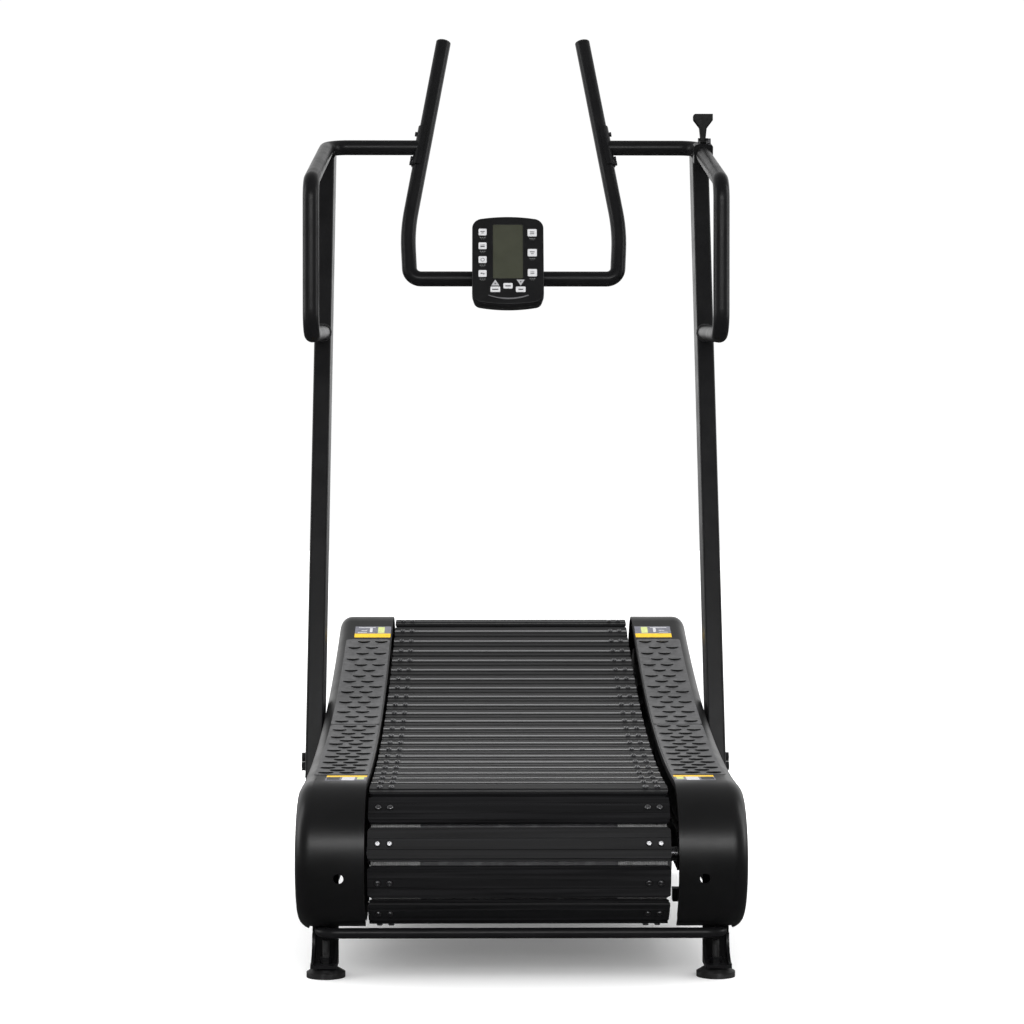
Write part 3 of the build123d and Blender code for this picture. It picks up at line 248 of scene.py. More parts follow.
    def stripes(self, centre, start, per_turn, sense, colour, roughness):
        """A stripe along the raised middle of each slat round a centre in Y and Z. Its lower roughness is gloss;
        on the top slats its light colour is a painted highlight.
        """
        place = self.nodes.new("ShaderNodeTexCoord")
        split = self.nodes.new("ShaderNodeSeparateXYZ")
        self.links.new(place.outputs["Object"], split.inputs["Vector"])
        across = self.sum("SUBTRACT", split.outputs["Y"], centre[0])
        rise = self.sum("SUBTRACT", split.outputs["Z"], centre[1])
        turn = self.sum(
            "ARCTAN2", self.sum("MULTIPLY", across, sense[0]), self.sum("MULTIPLY", rise, sense[1])
        )
        number = self.sum("ADD", self.sum("MULTIPLY", turn, per_turn), start + STRIPE_SHIFT)
        away = self.sum("PINGPONG", number, 0.5)
        amount = self.ranged(away, 1, 0, STRIPE_HALF, STRIPE_HALF + STRIPE_FADE)
        self.blend("Base Color", amount, colour)
        self.blend("Roughness", amount, roughness)
        return self


ALONG_X = (60, 1, 1)
DUST = (0.16, 0.16, 0.17)
BARE_METAL = (0.35, 0.35, 0.36)

SURFACES = {
    "frame_paint": Surface("powder_coat", (0.005, 0.005, 0.0055), 0.33, specular=0.32)
    .mottle(0.06, 0.85, 1.2)
    .gloss(0.05, 0.05)
    .grain(0.0011, 0.00006)
    .grain(0.006, 0.00008),
    "band_rubber": Surface("band_rubber", (0.2, 0.2, 0.2), 0.6)
    .mottle(0.01, 0.8, 1.2)
    .wear(DUST, 0.02, 0.35)
    .grain(0.0008, 0.00006),
    "bolt_steel": Surface("zinc_bolt", (0.35, 0.35, 0.36), 0.3, metallic=1)
    .mottle(0.002, 0.85, 1.1)
    .gloss(0.0015, 0.08)
    .grain(0.0006, 0.00002),
    "dark_bolt": Surface("black_zinc_bolt", (0.03, 0.03, 0.032), 0.35, metallic=0.6)
    .mottle(0.004, 0.8, 1.3)
    .gloss(0.003, 0.08)
    .grain(0.0008, 0.00003),
    "shaft_steel": Surface("turned_steel", (0.5, 0.5, 0.52), 0.3, metallic=1)
    .mottle(0.01, 0.85, 1.1)
    .gloss(0.0006, 0.1, (1, 30, 30))
    .grain(0.0005, 0.00003, (1, 30, 30)),
    "drum_paint": Surface("drum_primer", (0.09, 0.09, 0.095), 0.5)
    .mottle(0.05, 0.85, 1.15)
    .wear(BARE_METAL, 0.03, 0.3)
    .grain(0.0015, 0.00006),
    "flywheel_iron": Surface("machined_iron", (0.2, 0.2, 0.205), 0.38, metallic=1)
    .mottle(0.02, 0.7, 1.2)
    .wear((0.12, 0.08, 0.06), 0.03, 0.25)
    .grain(0.0008, 0.00005),
    "cover_plastic": Surface("cover_abs", (0.0035, 0.0035, 0.0038), 0.33, specular=0.5)
    .mottle(0.12, 0.85, 1.2)
    .gloss(0.08, 0.04)
    .grain(0.0012, 0.00007),
    "pad_rubber": Surface("pad_rubber", (0.085, 0.085, 0.087), 0.46, specular=0.55)
    .mottle(0.012, 0.8, 1.25)
    .wear(DUST, 0.02, 0.22)
    .grain(0.0012, 0.00012)
    .grain(0.004, 0.00008),
    "foot_rubber": Surface("foot_rubber", (0.008, 0.008, 0.008), 0.55)
    .mottle(0.01, 0.8, 1.3)
    .wear(DUST, 0.01, 0.12)
    .grain(0.001, 0.00008),
    "wheel_plastic": Surface("wheel_plastic", (0.02, 0.02, 0.021), 0.5)
    .mottle(0.02, 0.8, 1.3)
    .wear(DUST, 0.006, 0.3)
    .grain(0.001, 0.00008),
    "cap_plastic": Surface("cap_plastic", (0.014, 0.014, 0.014), 0.45)
    .mottle(0.01, 0.85, 1.2)
    .grain(0.0009, 0.00005),
    "lever_plastic": Surface("lever_plastic", (0.004, 0.004, 0.004), 0.45, specular=0.2)
    .mottle(0.01, 0.8, 1.3)
    .gloss(0.008, 0.06)
    .grain(0.001, 0.00003),
    "console_plastic": Surface("console_abs", (0.005, 0.005, 0.0055), 0.36, specular=0.35)
    .mottle(0.03, 0.85, 1.2)
    .gloss(0.02, 0.05)
    .grain(0.0007, 0.00004),
    "screen_glass": Surface("screen_glass", (0.036, 0.038, 0.026), 0.22, coat=0.2)
    .mottle(0.03, 0.93, 1.06)
    .gloss(0.02, 0.03)
    .grain(0.0008, 0.00001),
    "board": Surface("circuit_board", (0.02, 0.09, 0.035), 0.45)
    .mottle(0.006, 0.6, 1.4)
    .grain(0.002, 0.0001),
    "key_plastic": Surface("key_silicone", (0.46, 0.46, 0.47), 0.45)
    .mottle(0.004, 0.9, 1.06)
    .gloss(0.004, 0.05)
    .grain(0.0006, 0.00003),
}
print_dark = Surface("print_dark", (0.07, 0.07, 0.075), 0.5).mottle(0.002, 0.85, 1.2)
print_light = Surface("print_light", (0.3, 0.3, 0.31), 0.45).mottle(0.002, 0.9, 1.05)
print_dim = Surface("print_dim", (0.1, 0.1, 0.1), 0.5).mottle(0.0015, 0.7, 1.3)
silver_trim = Surface("silver_trim", (0.12, 0.12, 0.125), 0.35, metallic=0.3)
silver_trim.mottle(0.004, 0.85, 1.1)
weld_metal = Surface("weld_paint", (0.014, 0.014, 0.015), 0.38).mottle(0.004, 0.8, 1.3)
weld_metal.grain(0.003, 0.0002)
label_grey = Surface("label_grey", (0.17, 0.17, 0.2), 0.4).mottle(0.01, 0.85, 1.15)
label_pale = Surface("label_pale", (0.62, 0.62, 0.64), 0.4).mottle(0.006, 0.85, 1.05)
label_yellow = Surface("label_yellow", (0.9, 0.55, 0.005), 0.45).mottle(0.01, 0.9, 1.04)
label_lime = Surface("label_lime", (0.6, 0.66, 0.25), 0.45).mottle(0.006, 0.85, 1.1)
label_black = Surface("label_black", (0.02, 0.02, 0.02), 0.4).mottle(0.006, 0.85, 1.2)
LABEL_INKS = {
    "grey": label_grey,
    "pale": label_pale,
    "yellow": label_yellow,
    "lime": label_lime,
    "black": label_black,
}


def slat_surface(group, centre, start, per_turn, sense, stripe):
    """Anodised slats of one group, with a stripe of its own colour and roughness. The top group's light stripe
    colour is a painted highlight.
    """
    shine = TOP_SHINE if group == "top" else OTHER_SHINE
    surface = Surface("anodised_slat_" + group, (0.0055, 0.0055, 0.006), 0.42, specular=shine)
    surface.mottle(0.004, 0.6, 1.8, ALONG_X).gloss(0.002, 0.07, ALONG_X)
    surface.grain(0.0006, 0.00005, ALONG_X).grain(0.0014, 0.00007)
    return surface.stripes(centre, start, per_turn, sense, *stripe)


arc_spot = (rear_y, arc_z)
per_drum = pitch_radius / BELT_PITCH
first_share = FIRST_SLAT / BELT_PITCH
front_start = (wrap_run + lower_run - (math.pi + deck_angle) * pitch_radius) / BELT_PITCH
# The top slats' stripe: a light colour that is a painted highlight, and a lower roughness for their gloss.
PAINTED_HIGHLIGHT_STRIPE = ((0.13, 0.13, 0.133), 0.22)
DULL_STRIPE = ((0.006, 0.006, 0.0065), 0.4)
SLAT_SURFACES = {
    "slats_rear": slat_surface(
        "rear", (rear_y, rear_z), -first_share, per_drum, (-1, 1), DULL_STRIPE
    ),
    "slats_front": slat_surface(
        "front", (front_y, front_z), front_start - first_share, per_drum, (-1, 1), DULL_STRIPE
    ),
    "slats_lower": slat_surface(
        "lower",
        arc_spot,
        wrap_run / BELT_PITCH - first_share,
        (deck_radius + pitch_radius) / BELT_PITCH,
        (1, -1),
        DULL_STRIPE,
    ),
    "slats_top": slat_surface(
        "top",
        arc_spot,
        -first_share,
        -(deck_radius - pitch_radius) / BELT_PITCH,
        (1, -1),
        PAINTED_HIGHLIGHT_STRIPE,
    ),
}
# Near-black for the scales' curved edge faces: painted shade on the steps, not the rubber's colour.
pad_painted_shade = Surface("pad_painted_shade", (0.004, 0.004, 0.004), 0.7, specular=0.2)
pad_painted_shade.mottle(0.004, 0.8, 1.2).grain(0.0012, 0.0001)

for part in frame["record"]["subparts"]:
    node = frame["nodes"][part["node"]]
    node.data.materials.clear()
    surface = SLAT_SURFACES.get(part["node"]) or SURFACES[part["material_slot"]]
    node.data.materials.append(surface.material)


# ---- Mesh helpers -------------------------------------------------------------------------

MERGE_DISTANCE = 0.00001


def finish_piece(name, mesh, body, smooth=False):
    """Turn a bmesh into a piece of the object that rides on a body."""
    data = bpy.data.meshes.new(name)
    bmesh.ops.recalc_face_normals(mesh, faces=mesh.faces)
    mesh.to_mesh(data)
    mesh.free()
    data.shade_smooth() if smooth else data.shade_flat()
    piece = bpy.data.objects.new(name, data)
    bpy.context.scene.collection.objects.link(piece)
    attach(piece, body)
    return piece


def paint(piece, *surfaces):
    """Give a piece its material slots, in order."""
    for surface in surfaces:
        piece.data.materials.append(surface.material)
    return piece


def add_ribbon(mesh, rows, closed=True):
    """Quads between rows of points. A closed ribbon joins each row's last point to its first."""
    made = [[mesh.verts.new(point) for point in row] for row in rows]
    count = len(rows[0])
    faces = []
    for low, high in zip(made, made[1:]):
        for index in range(count if closed else count - 1):
            after = (index + 1) % count
            faces.append(mesh.faces.new((low[index], low[after], high[after], high[index])))
    if closed:
        mesh.faces.new(made[0])
        mesh.faces.new(reversed(made[-1]))
    return faces


def add_prism(mesh, outline, rise, place):
    """A flat outline in local X and Y raised by a thickness, set by a placing function."""
    low = [mesh.verts.new(place(x, y, 0)) for x, y in outline]
    high = [mesh.verts.new(place(x, y, rise)) for x, y in outline]
    for index in range(len(outline)):
        after = (index + 1) % len(outline)
        mesh.faces.new((low[index], low[after], high[after], high[index]))
    mesh.faces.new(reversed(low))
    return mesh.faces.new(high)


def add_ring(mesh, rows):
    """Quads round a solid ring whose last row of points is its first again."""
    for low_row, high_row in zip(rows, rows[1:]):
        lows = [mesh.verts.new(point) for point in low_row]
        highs = [mesh.verts.new(point) for point in high_row]
        for index in range(len(lows)):
            after = (index + 1) % len(lows)
            mesh.faces.new((lows[index], lows[after], highs[after], highs[index]))
    bmesh.ops.remove_doubles(mesh, verts=mesh.verts, dist=MERGE_DISTANCE)


# ---- Ribbed belt bands --------------------------------------------------------------------

RIB_PITCH = 0.003
RIB_DEPTH = 0.0011
RIB_PROFILE = ((0.0, RIB_DEPTH), (0.18, 0.0), (0.62, 0.0), (0.8, RIB_DEPTH))
BAND_STEP_ROUND = 0.009
BAND_STEP_RUN = 0.015
rib_count = round(BAND_WIDTH / RIB_PITCH)


def band_section(inner_x):
    """X and outward offset round one band's section: ribs on the outside, flat inside."""
    pitch = BAND_WIDTH / rib_count
    section = [(inner_x, -BAND_HALF)]
    for rib in range(rib_count):
        start = inner_x + rib * pitch
        for share, drop in RIB_PROFILE:
            section.append((start + share * pitch, BAND_HALF - drop))
    section.append((inner_x + BAND_WIDTH, BAND_HALF - RIB_DEPTH))
    section.append((inner_x + BAND_WIDTH, -BAND_HALF))
    return section


for group, (first, last) in SLAT_GROUPS.items():
    start = FIRST_SLAT + BELT_PITCH * (first - 0.5) + BAND_GAP
    stop = FIRST_SLAT + BELT_PITCH * (last - 0.5) - BAND_GAP
    step = BAND_STEP_ROUND if group in ("rear", "front") else BAND_STEP_RUN
    count = math.ceil((stop - start) / step)
    low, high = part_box("bands_" + group)
    mesh = bmesh.new()
    for inner_x in (low.x, high.x - BAND_WIDTH):
        rows = []
        for index in range(count + 1):
            distance = start + (stop - start) * index / count
            row = [(x, *belt_spot(distance, outward)) for x, outward in band_section(inner_x)]
            rows.append(row)
        add_ribbon(mesh, rows)
    bands = finish_piece("ribbed_bands_" + group, mesh, GROUP_BODIES[group])
    paint(bands, SURFACES["band_rubber"])
    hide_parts("bands_" + group)

# ---- Tread pads with raised scales --------------------------------------------------------

COVER_RISE = 0.021
PAD_INNER = 0.266
PAD_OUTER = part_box("tread_pads")[1].x
PAD_THICKNESS = 0.0015
PAD_CORNER = 0.008
PAD_CORNER_STEPS = 6
PAD_BEVEL = 0.0006
PAD_STEP = 0.02
PAD_SPANS = {"near": (0.080, 0.575), "far": (0.581, 1.170)}
PAD_ROWS = 16
PAD_COLUMNS = 2
PAD_ROW_PLACE = 0.62
SCALE_HALF = 0.0135
SCALE_BULGE = 0.0095
SCALE_BACK = 0.003
SCALE_HEIGHT = 0.003
SCALE_PITCH = 0.037
SCALE_SINK = 0.0004
SCALE_STEPS = 14
SCALE_MARGIN = 0.0185
SCALE_BEVEL = 0.0006
SCALE_END_SHARE = 0.25
SCALE_MIDDLE_SHARE = 0.55


def pad_row(forward, span):
    """Outline across one pad at a distance forward, narrower in its rounded corners."""
    start, stop = span
    inset = 0.0
    edge = min(forward - start, stop - forward)
    if edge < PAD_CORNER:
        inset = PAD_CORNER - math.sqrt(PAD_CORNER**2 - (PAD_CORNER - edge) ** 2)
    rise = COVER_RISE + PAD_THICKNESS
    return [
        (PAD_INNER + inset, COVER_RISE),
        (PAD_INNER + inset, rise - PAD_BEVEL),
        (PAD_INNER + inset + PAD_BEVEL, rise),
        (PAD_OUTER - inset - PAD_BEVEL, rise),
        (PAD_OUTER - inset, rise - PAD_BEVEL),
        (PAD_OUTER - inset, COVER_RISE),
    ]


def add_scale(mesh, side, across, forward):
    """One raised scale: a ramp that rises towards the back and drops at a curved edge."""
    rows = []
    top = COVER_RISE + PAD_THICKNESS
    for index in range(SCALE_STEPS + 1):
        t = 2 * index / SCALE_STEPS - 1
        swell = 1 - t * t
        x = side * (across + t * SCALE_HALF)
        edge = forward - SCALE_BULGE * swell - SCALE_BEVEL
        back = forward + SCALE_BACK * swell + SCALE_BEVEL
        share = SCALE_END_SHARE + (1 - SCALE_END_SHARE) * math.sqrt(swell)
        crest = top + SCALE_HEIGHT * share
        rows.append(
            [
                deck_point(x, edge - SCALE_BEVEL, top - SCALE_SINK),
                deck_point(x, edge + 0.0002, crest - 0.0004),
                deck_point(x, edge + 0.0008, crest),
                deck_point(x, (edge + back) / 2, top + (crest - top) * SCALE_MIDDLE_SHARE),
                deck_point(x, back, top + 0.0001),
                deck_point(x, back, top - SCALE_SINK),
            ]
        )
    faces = add_ribbon(mesh, rows)
    # The curved edge is in the near-black material of the pad's second slot: painted shade on the step.
    for step in range(3):
        for face in faces[step :: len(rows[0])]:
            face.material_index = 1


for side, side_name in SIDES:
    for pad_name, span in PAD_SPANS.items():
        start, stop = span
        distances = []
        for step in range(PAD_CORNER_STEPS + 1):
            turn = step * math.pi / (2 * PAD_CORNER_STEPS)
            distances.append(start + PAD_CORNER * (1 - math.cos(turn)))
        corner_distances = list(distances)
        straight = stop - start - 2 * PAD_CORNER
        inner_count = math.ceil(straight / PAD_STEP)
        for index in range(1, inner_count):
            distances.append(start + PAD_CORNER + straight * (index / inner_count))
        distances += [start + stop - distance for distance in reversed(corner_distances)]
        rows = [
            [deck_point(side * x, distance, outward) for x, outward in pad_row(distance, span)]
            for distance in distances
        ]
        mesh = bmesh.new()
        add_ribbon(mesh, rows)
        row_pitch = (stop - start) / PAD_ROWS
        for row in range(PAD_ROWS):
            forward = start + row_pitch * (row + PAD_ROW_PLACE)
            offset = SCALE_PITCH / 2 if row % 2 == 0 else 0.0
            for column in range(PAD_COLUMNS):
                across = PAD_INNER + SCALE_MARGIN + offset + column * SCALE_PITCH
                add_scale(mesh, side, across, forward)
        pad = finish_piece(f"tread_pad_{pad_name}_{side_name}", mesh, "frame")
        paint(pad, SURFACES["pad_rubber"], pad_painted_shade)
        if side_name == "left" and pad_name == "near":
            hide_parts("tread_pads")

# ---- Plain colour-blocked labels on the covers --------------------------------------------

LABEL_LIFT = 0.00025
LABEL_BASE = 0.0001
LABEL_LAYER = 0.00012
LABEL_STEP = 0.008
# Inner and outer edge, start and stop along the belt, ink and layer of each block.
LABEL_BLOCKS = {
    "far": (
        (0.266, 0.344, 1.184, 1.250, "grey", 0),
        (0.266, 0.344, 1.184, 1.207, "yellow", 1),
        (0.280, 0.294, 1.210, 1.246, "lime", 1),
        (0.306, 0.312, 1.216, 1.240, "pale", 1),
        (0.300, 0.336, 1.242, 1.245, "pale", 1),
        (0.318, 0.338, 1.213, 1.216, "pale", 1),
        (0.318, 0.330, 1.224, 1.227, "pale", 1),
    ),
    "near": (
        (0.266, 0.336, 0.004, 0.072, "grey", 0),
        (0.266, 0.336, 0.052, 0.072, "yellow", 1),
        (0.286, 0.308, 0.006, 0.050, "pale", 1),
        (0.312, 0.334, 0.012, 0.050, "black", 1),
        (0.270, 0.282, 0.020, 0.050, "lime", 1),
    ),
}

for side, side_name in SIDES:
    for end, blocks in LABEL_BLOCKS.items():
        mesh = bmesh.new()
        inks = list(LABEL_INKS)
        for inner, outer, start, stop, ink, layer in blocks:
            base = COVER_RISE + LABEL_BASE + layer * LABEL_LAYER
            count = max(2, math.ceil((stop - start) / LABEL_STEP))
            rows = []
            for index in range(count + 1):
                forward = start + (stop - start) * index / count
                rows.append(
                    [
                        deck_point(side * inner, forward, base),
                        deck_point(side * inner, forward, base + LABEL_LIFT),
                        deck_point(side * outer, forward, base + LABEL_LIFT),
                        deck_point(side * outer, forward, base),
                    ]
                )
            known = set(mesh.faces)
            add_ribbon(mesh, rows)
            for face in set(mesh.faces) - known:
                face.material_index = inks.index(ink)
        label = finish_piece(f"label_{end}_{side_name}", mesh, "frame")
        paint(label, *LABEL_INKS.values())

# ---- Console face: printed marks, trim, bezel and key symbols -----------------------------

press = Vector(joints["press_middle"]["axis"])
face_out = -press.normalized()
face_right = Vector((1, 0, 0))
face_up = face_out.cross(face_right)


def reach(name, direction):
    """Furthest a node's vertices go along a direction."""
    return max(vertex.co.dot(direction) for vertex in frame["nodes"][name].data.vertices)


def middle(name):
    """Middle of a node's box."""
    low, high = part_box(name)
    return (low + high) / 2


screen_middle = middle("lcd_lens")
face_level = reach("console_front_shell", face_out)
screen_top = reach("lcd_lens", face_up)
screen_bottom = -reach("lcd_lens", -face_up)
screen_up = (screen_top + screen_bottom) / 2
screen_half_height = (screen_top - screen_bottom) / 2
screen_half_width = (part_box("lcd_lens")[1].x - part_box("lcd_lens")[0].x) / 2


def face_place(level):
    """Placing function on the console's face, from the middle of the screen."""

    def place(u, v, rise):
        x = screen_middle.x + u
        return face_right * x + face_up * (screen_up + v) + face_out * (level + rise)

    return place


def printed(
    name, outlines, surface, level, rise, body="frame", shift=(0.0, 0.0)
):
    """Flat printed or raised marks from closed outlines on the console's face or a key."""
    mesh = bmesh.new()
    place = face_place(level)
    shift_u, shift_v = shift
    for outline in outlines:
        add_prism(mesh, [(u + shift_u, v + shift_v) for u, v in outline], rise, place)
    return paint(finish_piece(name, mesh, body), surface)


def bar(u, v, width, height):
    """Outline of a bar about its middle."""
    return [
        (u - width / 2, v - height / 2),
        (u + width / 2, v - height / 2),
        (u + width / 2, v + height / 2),
        (u - width / 2, v + height / 2),
    ]


def disc(u, v, radius, count=24):
    """Outline of a disc about its middle."""
    turns = [2 * math.pi * index / count for index in range(count)]
    return [(u + radius * math.cos(turn), v + radius * math.sin(turn)) for turn in turns]


def ring_parts(u, v, radius, width, count=28):
    """A ring as short quads, so that each outline stays simple."""
    parts = []
    for index in range(count):
        a, b = (2 * math.pi * step / count for step in (index, index + 1))
        parts.append(
            [
                (u + (radius - width) * math.cos(a), v + (radius - width) * math.sin(a)),
                (u + radius * math.cos(a), v + radius * math.sin(a)),
                (u + radius * math.cos(b), v + radius * math.sin(b)),
                (u + (radius - width) * math.cos(b), v + (radius - width) * math.sin(b)),
            ]
        )
    return parts


def key_spot(name):
    """Where a key's middle is on the face, from the middle of the screen."""
    spot = middle(name)
    return spot.x - screen_middle.x, spot.dot(face_up) - screen_up


INK = 0.00015
SYMBOLS = {
    "key_left_1": [bar(0, 0.0015, 0.009, 0.0018), bar(0, -0.002, 0.005, 0.0018)],
    "key_left_2": [bar(0, 0.002, 0.009, 0.0013), bar(0, -0.0015, 0.009, 0.003)],
    "key_left_3": ring_parts(0, 0, 0.0042, 0.0012),
    "key_left_4": [bar(-0.002, 0.0005, 0.004, 0.003), bar(0.0025, -0.0005, 0.003, 0.003)],
    "key_right_1": [bar(0, 0.002, 0.009, 0.002), bar(0, -0.0022, 0.009, 0.002)],
    "key_right_2": [bar(0, 0.002, 0.01, 0.0022), bar(0, -0.0022, 0.006, 0.0018)],
    "key_right_3": [bar(0, 0.0018, 0.008, 0.0016), bar(0, -0.0018, 0.008, 0.0016)],
    "key_up": [bar(0, 0, 0.013, 0.0028)],
    "key_middle": [bar(0, 0, 0.011, 0.0028)],
    "key_down": [bar(0, 0, 0.010, 0.0028)],
}
for name, outlines in SYMBOLS.items():
    level = reach(name, face_out)
    spot = key_spot(name)
    printed(
        name.replace("key_", "key_symbol_"),
        outlines,
        print_dark,
        level,
        INK,
        body=name,
        shift=spot,
    )

# Dim marks under the side keys, triangles over the lower keys.
DIM_GAP = 0.0035
DIM_ROW_GAP = 0.003
dim_marks = []
for name in SYMBOLS:
    if "left" in name or "right" in name:
        u, v = key_spot(name)
        low = -reach(name, -face_up) - screen_up - DIM_GAP
        dim_marks += [bar(u + step, low, 0.0028, 0.0022) for step in (-0.0045, 0, 0.0045)]
        dim_marks += [bar(u + step, low - DIM_ROW_GAP, 0.002, 0.0012) for step in (-0.0022, 0.0022)]
printed("console_dim_marks", dim_marks, print_dim, face_level, INK)

TRIANGLE_HALF = 0.0085
TRIANGLE_TALL = 0.0135
TRIANGLE_V = -0.0715
TRIANGLE_RISE = 0.0004
TRIANGLE_DOT = 0.0017
DOT_SHIFT = 0.002
up_u = key_spot("key_up")[0]
down_u = key_spot("key_down")[0]
triangles = [
    [
        (up_u - TRIANGLE_HALF, TRIANGLE_V - TRIANGLE_TALL / 2),
        (up_u + TRIANGLE_HALF, TRIANGLE_V - TRIANGLE_TALL / 2),
        (up_u, TRIANGLE_V + TRIANGLE_TALL / 2),
    ],
    [
        (down_u - TRIANGLE_HALF, TRIANGLE_V + TRIANGLE_TALL / 2),
        (down_u, TRIANGLE_V - TRIANGLE_TALL / 2),
        (down_u + TRIANGLE_HALF, TRIANGLE_V + TRIANGLE_TALL / 2),
    ],
]
printed("console_triangles", triangles, print_light, face_level, TRIANGLE_RISE)
dots = [
    disc(up_u, TRIANGLE_V - DOT_SHIFT, TRIANGLE_DOT),
    disc(down_u, TRIANGLE_V + DOT_SHIFT, TRIANGLE_DOT),
]
printed("console_triangle_dots", dots, print_dark, face_level + TRIANGLE_RISE, INK)

# A raised silver arc under the keys.
ARC_HALF = 0.042
ARC_SAG = 0.0075
ARC_V = -0.1
ARC_STEPS = 24
ARC_SHIFT = 0.001
ARC_RISE = 0.0009
ARC_SINK = 0.0002
mesh = bmesh.new()
place = face_place(face_level)
rows = []
for index in range(ARC_STEPS + 1):
    t = 2 * index / ARC_STEPS - 1
    u = t * ARC_HALF + ARC_SHIFT
    v = ARC_V - ARC_SAG * (1 - t * t)
    half = 0.0012 + 0.0009 * (1 - t * t) + 0.0004 * t
    rows.append(
        [
            place(u, v - half, -ARC_SINK),
            place(u, v - half * 0.6, ARC_RISE),
            place(u, v + half * 0.6, ARC_RISE),
            place(u, v + half, -ARC_SINK),
        ]
    )
add_ribbon(mesh, rows)
paint(finish_piece("console_arc", mesh, "frame", smooth=True), silver_trim)

# A thin raised bezel round the screen.
BEZEL_WIDTH = 0.0022
BEZEL_RISE = 0.0009
BEZEL_CORNER = 0.003
BEZEL_CORNER_STEPS = 6
BEZEL_GAP = 0.0002
BEZEL_SINK = 0.0005
mesh = bmesh.new()
rows = []
half_u = screen_half_width + BEZEL_GAP
half_v = screen_half_height + BEZEL_GAP
loop = []
for sign_u, sign_v, begin in ((1, 1, 0), (-1, 1, 90), (-1, -1, 180), (1, -1, 270)):
    for step in range(BEZEL_CORNER_STEPS + 1):
        turn = math.radians(begin + step * 90 / BEZEL_CORNER_STEPS)
        loop.append(
            (
                sign_u * (half_u - BEZEL_CORNER),
                sign_v * (half_v - BEZEL_CORNER),
                math.cos(turn),
                math.sin(turn),
            )
        )
for u, v, cosine, sine in loop + loop[:1]:
    rows.append(
        [
            place(u + cosine * (BEZEL_CORNER + out), v + sine * (BEZEL_CORNER + out), rise)
            for out, rise in (
                (0, -BEZEL_SINK),
                (0, BEZEL_RISE * 0.6),
                (BEZEL_WIDTH * 0.4, BEZEL_RISE),
                (BEZEL_WIDTH, 0.0001),
                (BEZEL_WIDTH, -BEZEL_SINK),
            )
        ]
    )
add_ring(mesh, rows)
bezel = finish_piece("screen_bezel", mesh, "frame")
paint(bezel, SURFACES["console_plastic"])

# ---- Painted shade: a black sheet that closes the gap beside the belt at the left rear drum ---

SHADE_SHEET_HOLE = 0.02
SHADE_SHEET_REACH = 0.112
# The sheet's two faces, from the left cover's inner edge.
SHADE_SHEET_FACES = (-0.0018, -0.0006)
SHADE_SHEET_STEPS = 96
cover_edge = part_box("side_cover_left")[1].x
mesh = bmesh.new()
rows = []
for index in range(SHADE_SHEET_STEPS + 1):
    turn = 2 * math.pi * index / SHADE_SHEET_STEPS
    rows.append(
        [
            Vector(
                (
                    cover_edge + shift,
                    rear_y + radius * math.cos(turn),
                    rear_z + radius * math.sin(turn),
                )
            )
            for shift, radius in (
                (SHADE_SHEET_FACES[0], SHADE_SHEET_HOLE),
                (SHADE_SHEET_FACES[1], SHADE_SHEET_HOLE),
                (SHADE_SHEET_FACES[1], SHADE_SHEET_REACH),
                (SHADE_SHEET_FACES[0], SHADE_SHEET_REACH),
            )
        ]
    )
add_ring(mesh, rows)
# The sheet is painted shade that darkens the gap beside the belt.
shade_sheet = finish_piece("shade_sheet_left", mesh, "frame")
paint(shade_sheet, SURFACES["frame_paint"])

# ---- Weld beads where the handrails meet the uprights -------------------------------------

LEAN = math.radians(17.9)
RAIL_SLOPE = math.radians(4)
upright_ahead = Vector((0, math.cos(LEAN), -math.sin(LEAN)))
upright_along = Vector((0, math.sin(LEAN), math.cos(LEAN)))
TUBE_RADIUS = 0.016
# The lower end of a handrail is the one that butts on its upright, below this height.
RAIL_END_TOP = 1.3
RAIL_END_REACH = 0.0015
BEAD_RADIUS = 0.0026
BEAD_CLEARANCE = 0.0008
BEAD_LIFT = 0.001
BEAD_POINTS = 48
BEAD_SIDES = 8
BEAD_RIPPLE = 0.14
BEAD_RIPPLE_TURN = 2.1


def add_bead(mesh, points, radius, closed):
    """A rippled weld bead along a list of points."""
    count = len(points)
    sides = BEAD_SIDES
    rings = []
    for index, point in enumerate(points):
        before = points[index - 1] if index or closed else point
        after = points[(index + 1) % count] if index < count - 1 or closed else point
        along = (after - before).normalized()
        across = along.orthogonal().normalized()
        other = along.cross(across)
        swell = radius * (1 + BEAD_RIPPLE * math.sin(index * BEAD_RIPPLE_TURN))
        rings.append(
            [
                mesh.verts.new(
                    point
                    + across * swell * math.cos(2 * math.pi * side / sides)
                    + other * swell * math.sin(2 * math.pi * side / sides)
                )
                for side in range(sides)
            ]
        )
    pairs = list(zip(rings, rings[1:])) + ([(rings[-1], rings[0])] if closed else [])
    for low_ring, high_ring in pairs:
        spin = min(
            range(sides), key=lambda shift: (low_ring[0].co - high_ring[shift].co).length
        )
        for side in range(sides):
            a, b = low_ring[side], low_ring[(side + 1) % sides]
            c = high_ring[(side + 1 + spin) % sides]
            d = high_ring[(side + spin) % sides]
            mesh.faces.new((a, b, c, d))
    if not closed:
        mesh.faces.new(rings[0])
        mesh.faces.new(rings[-1])


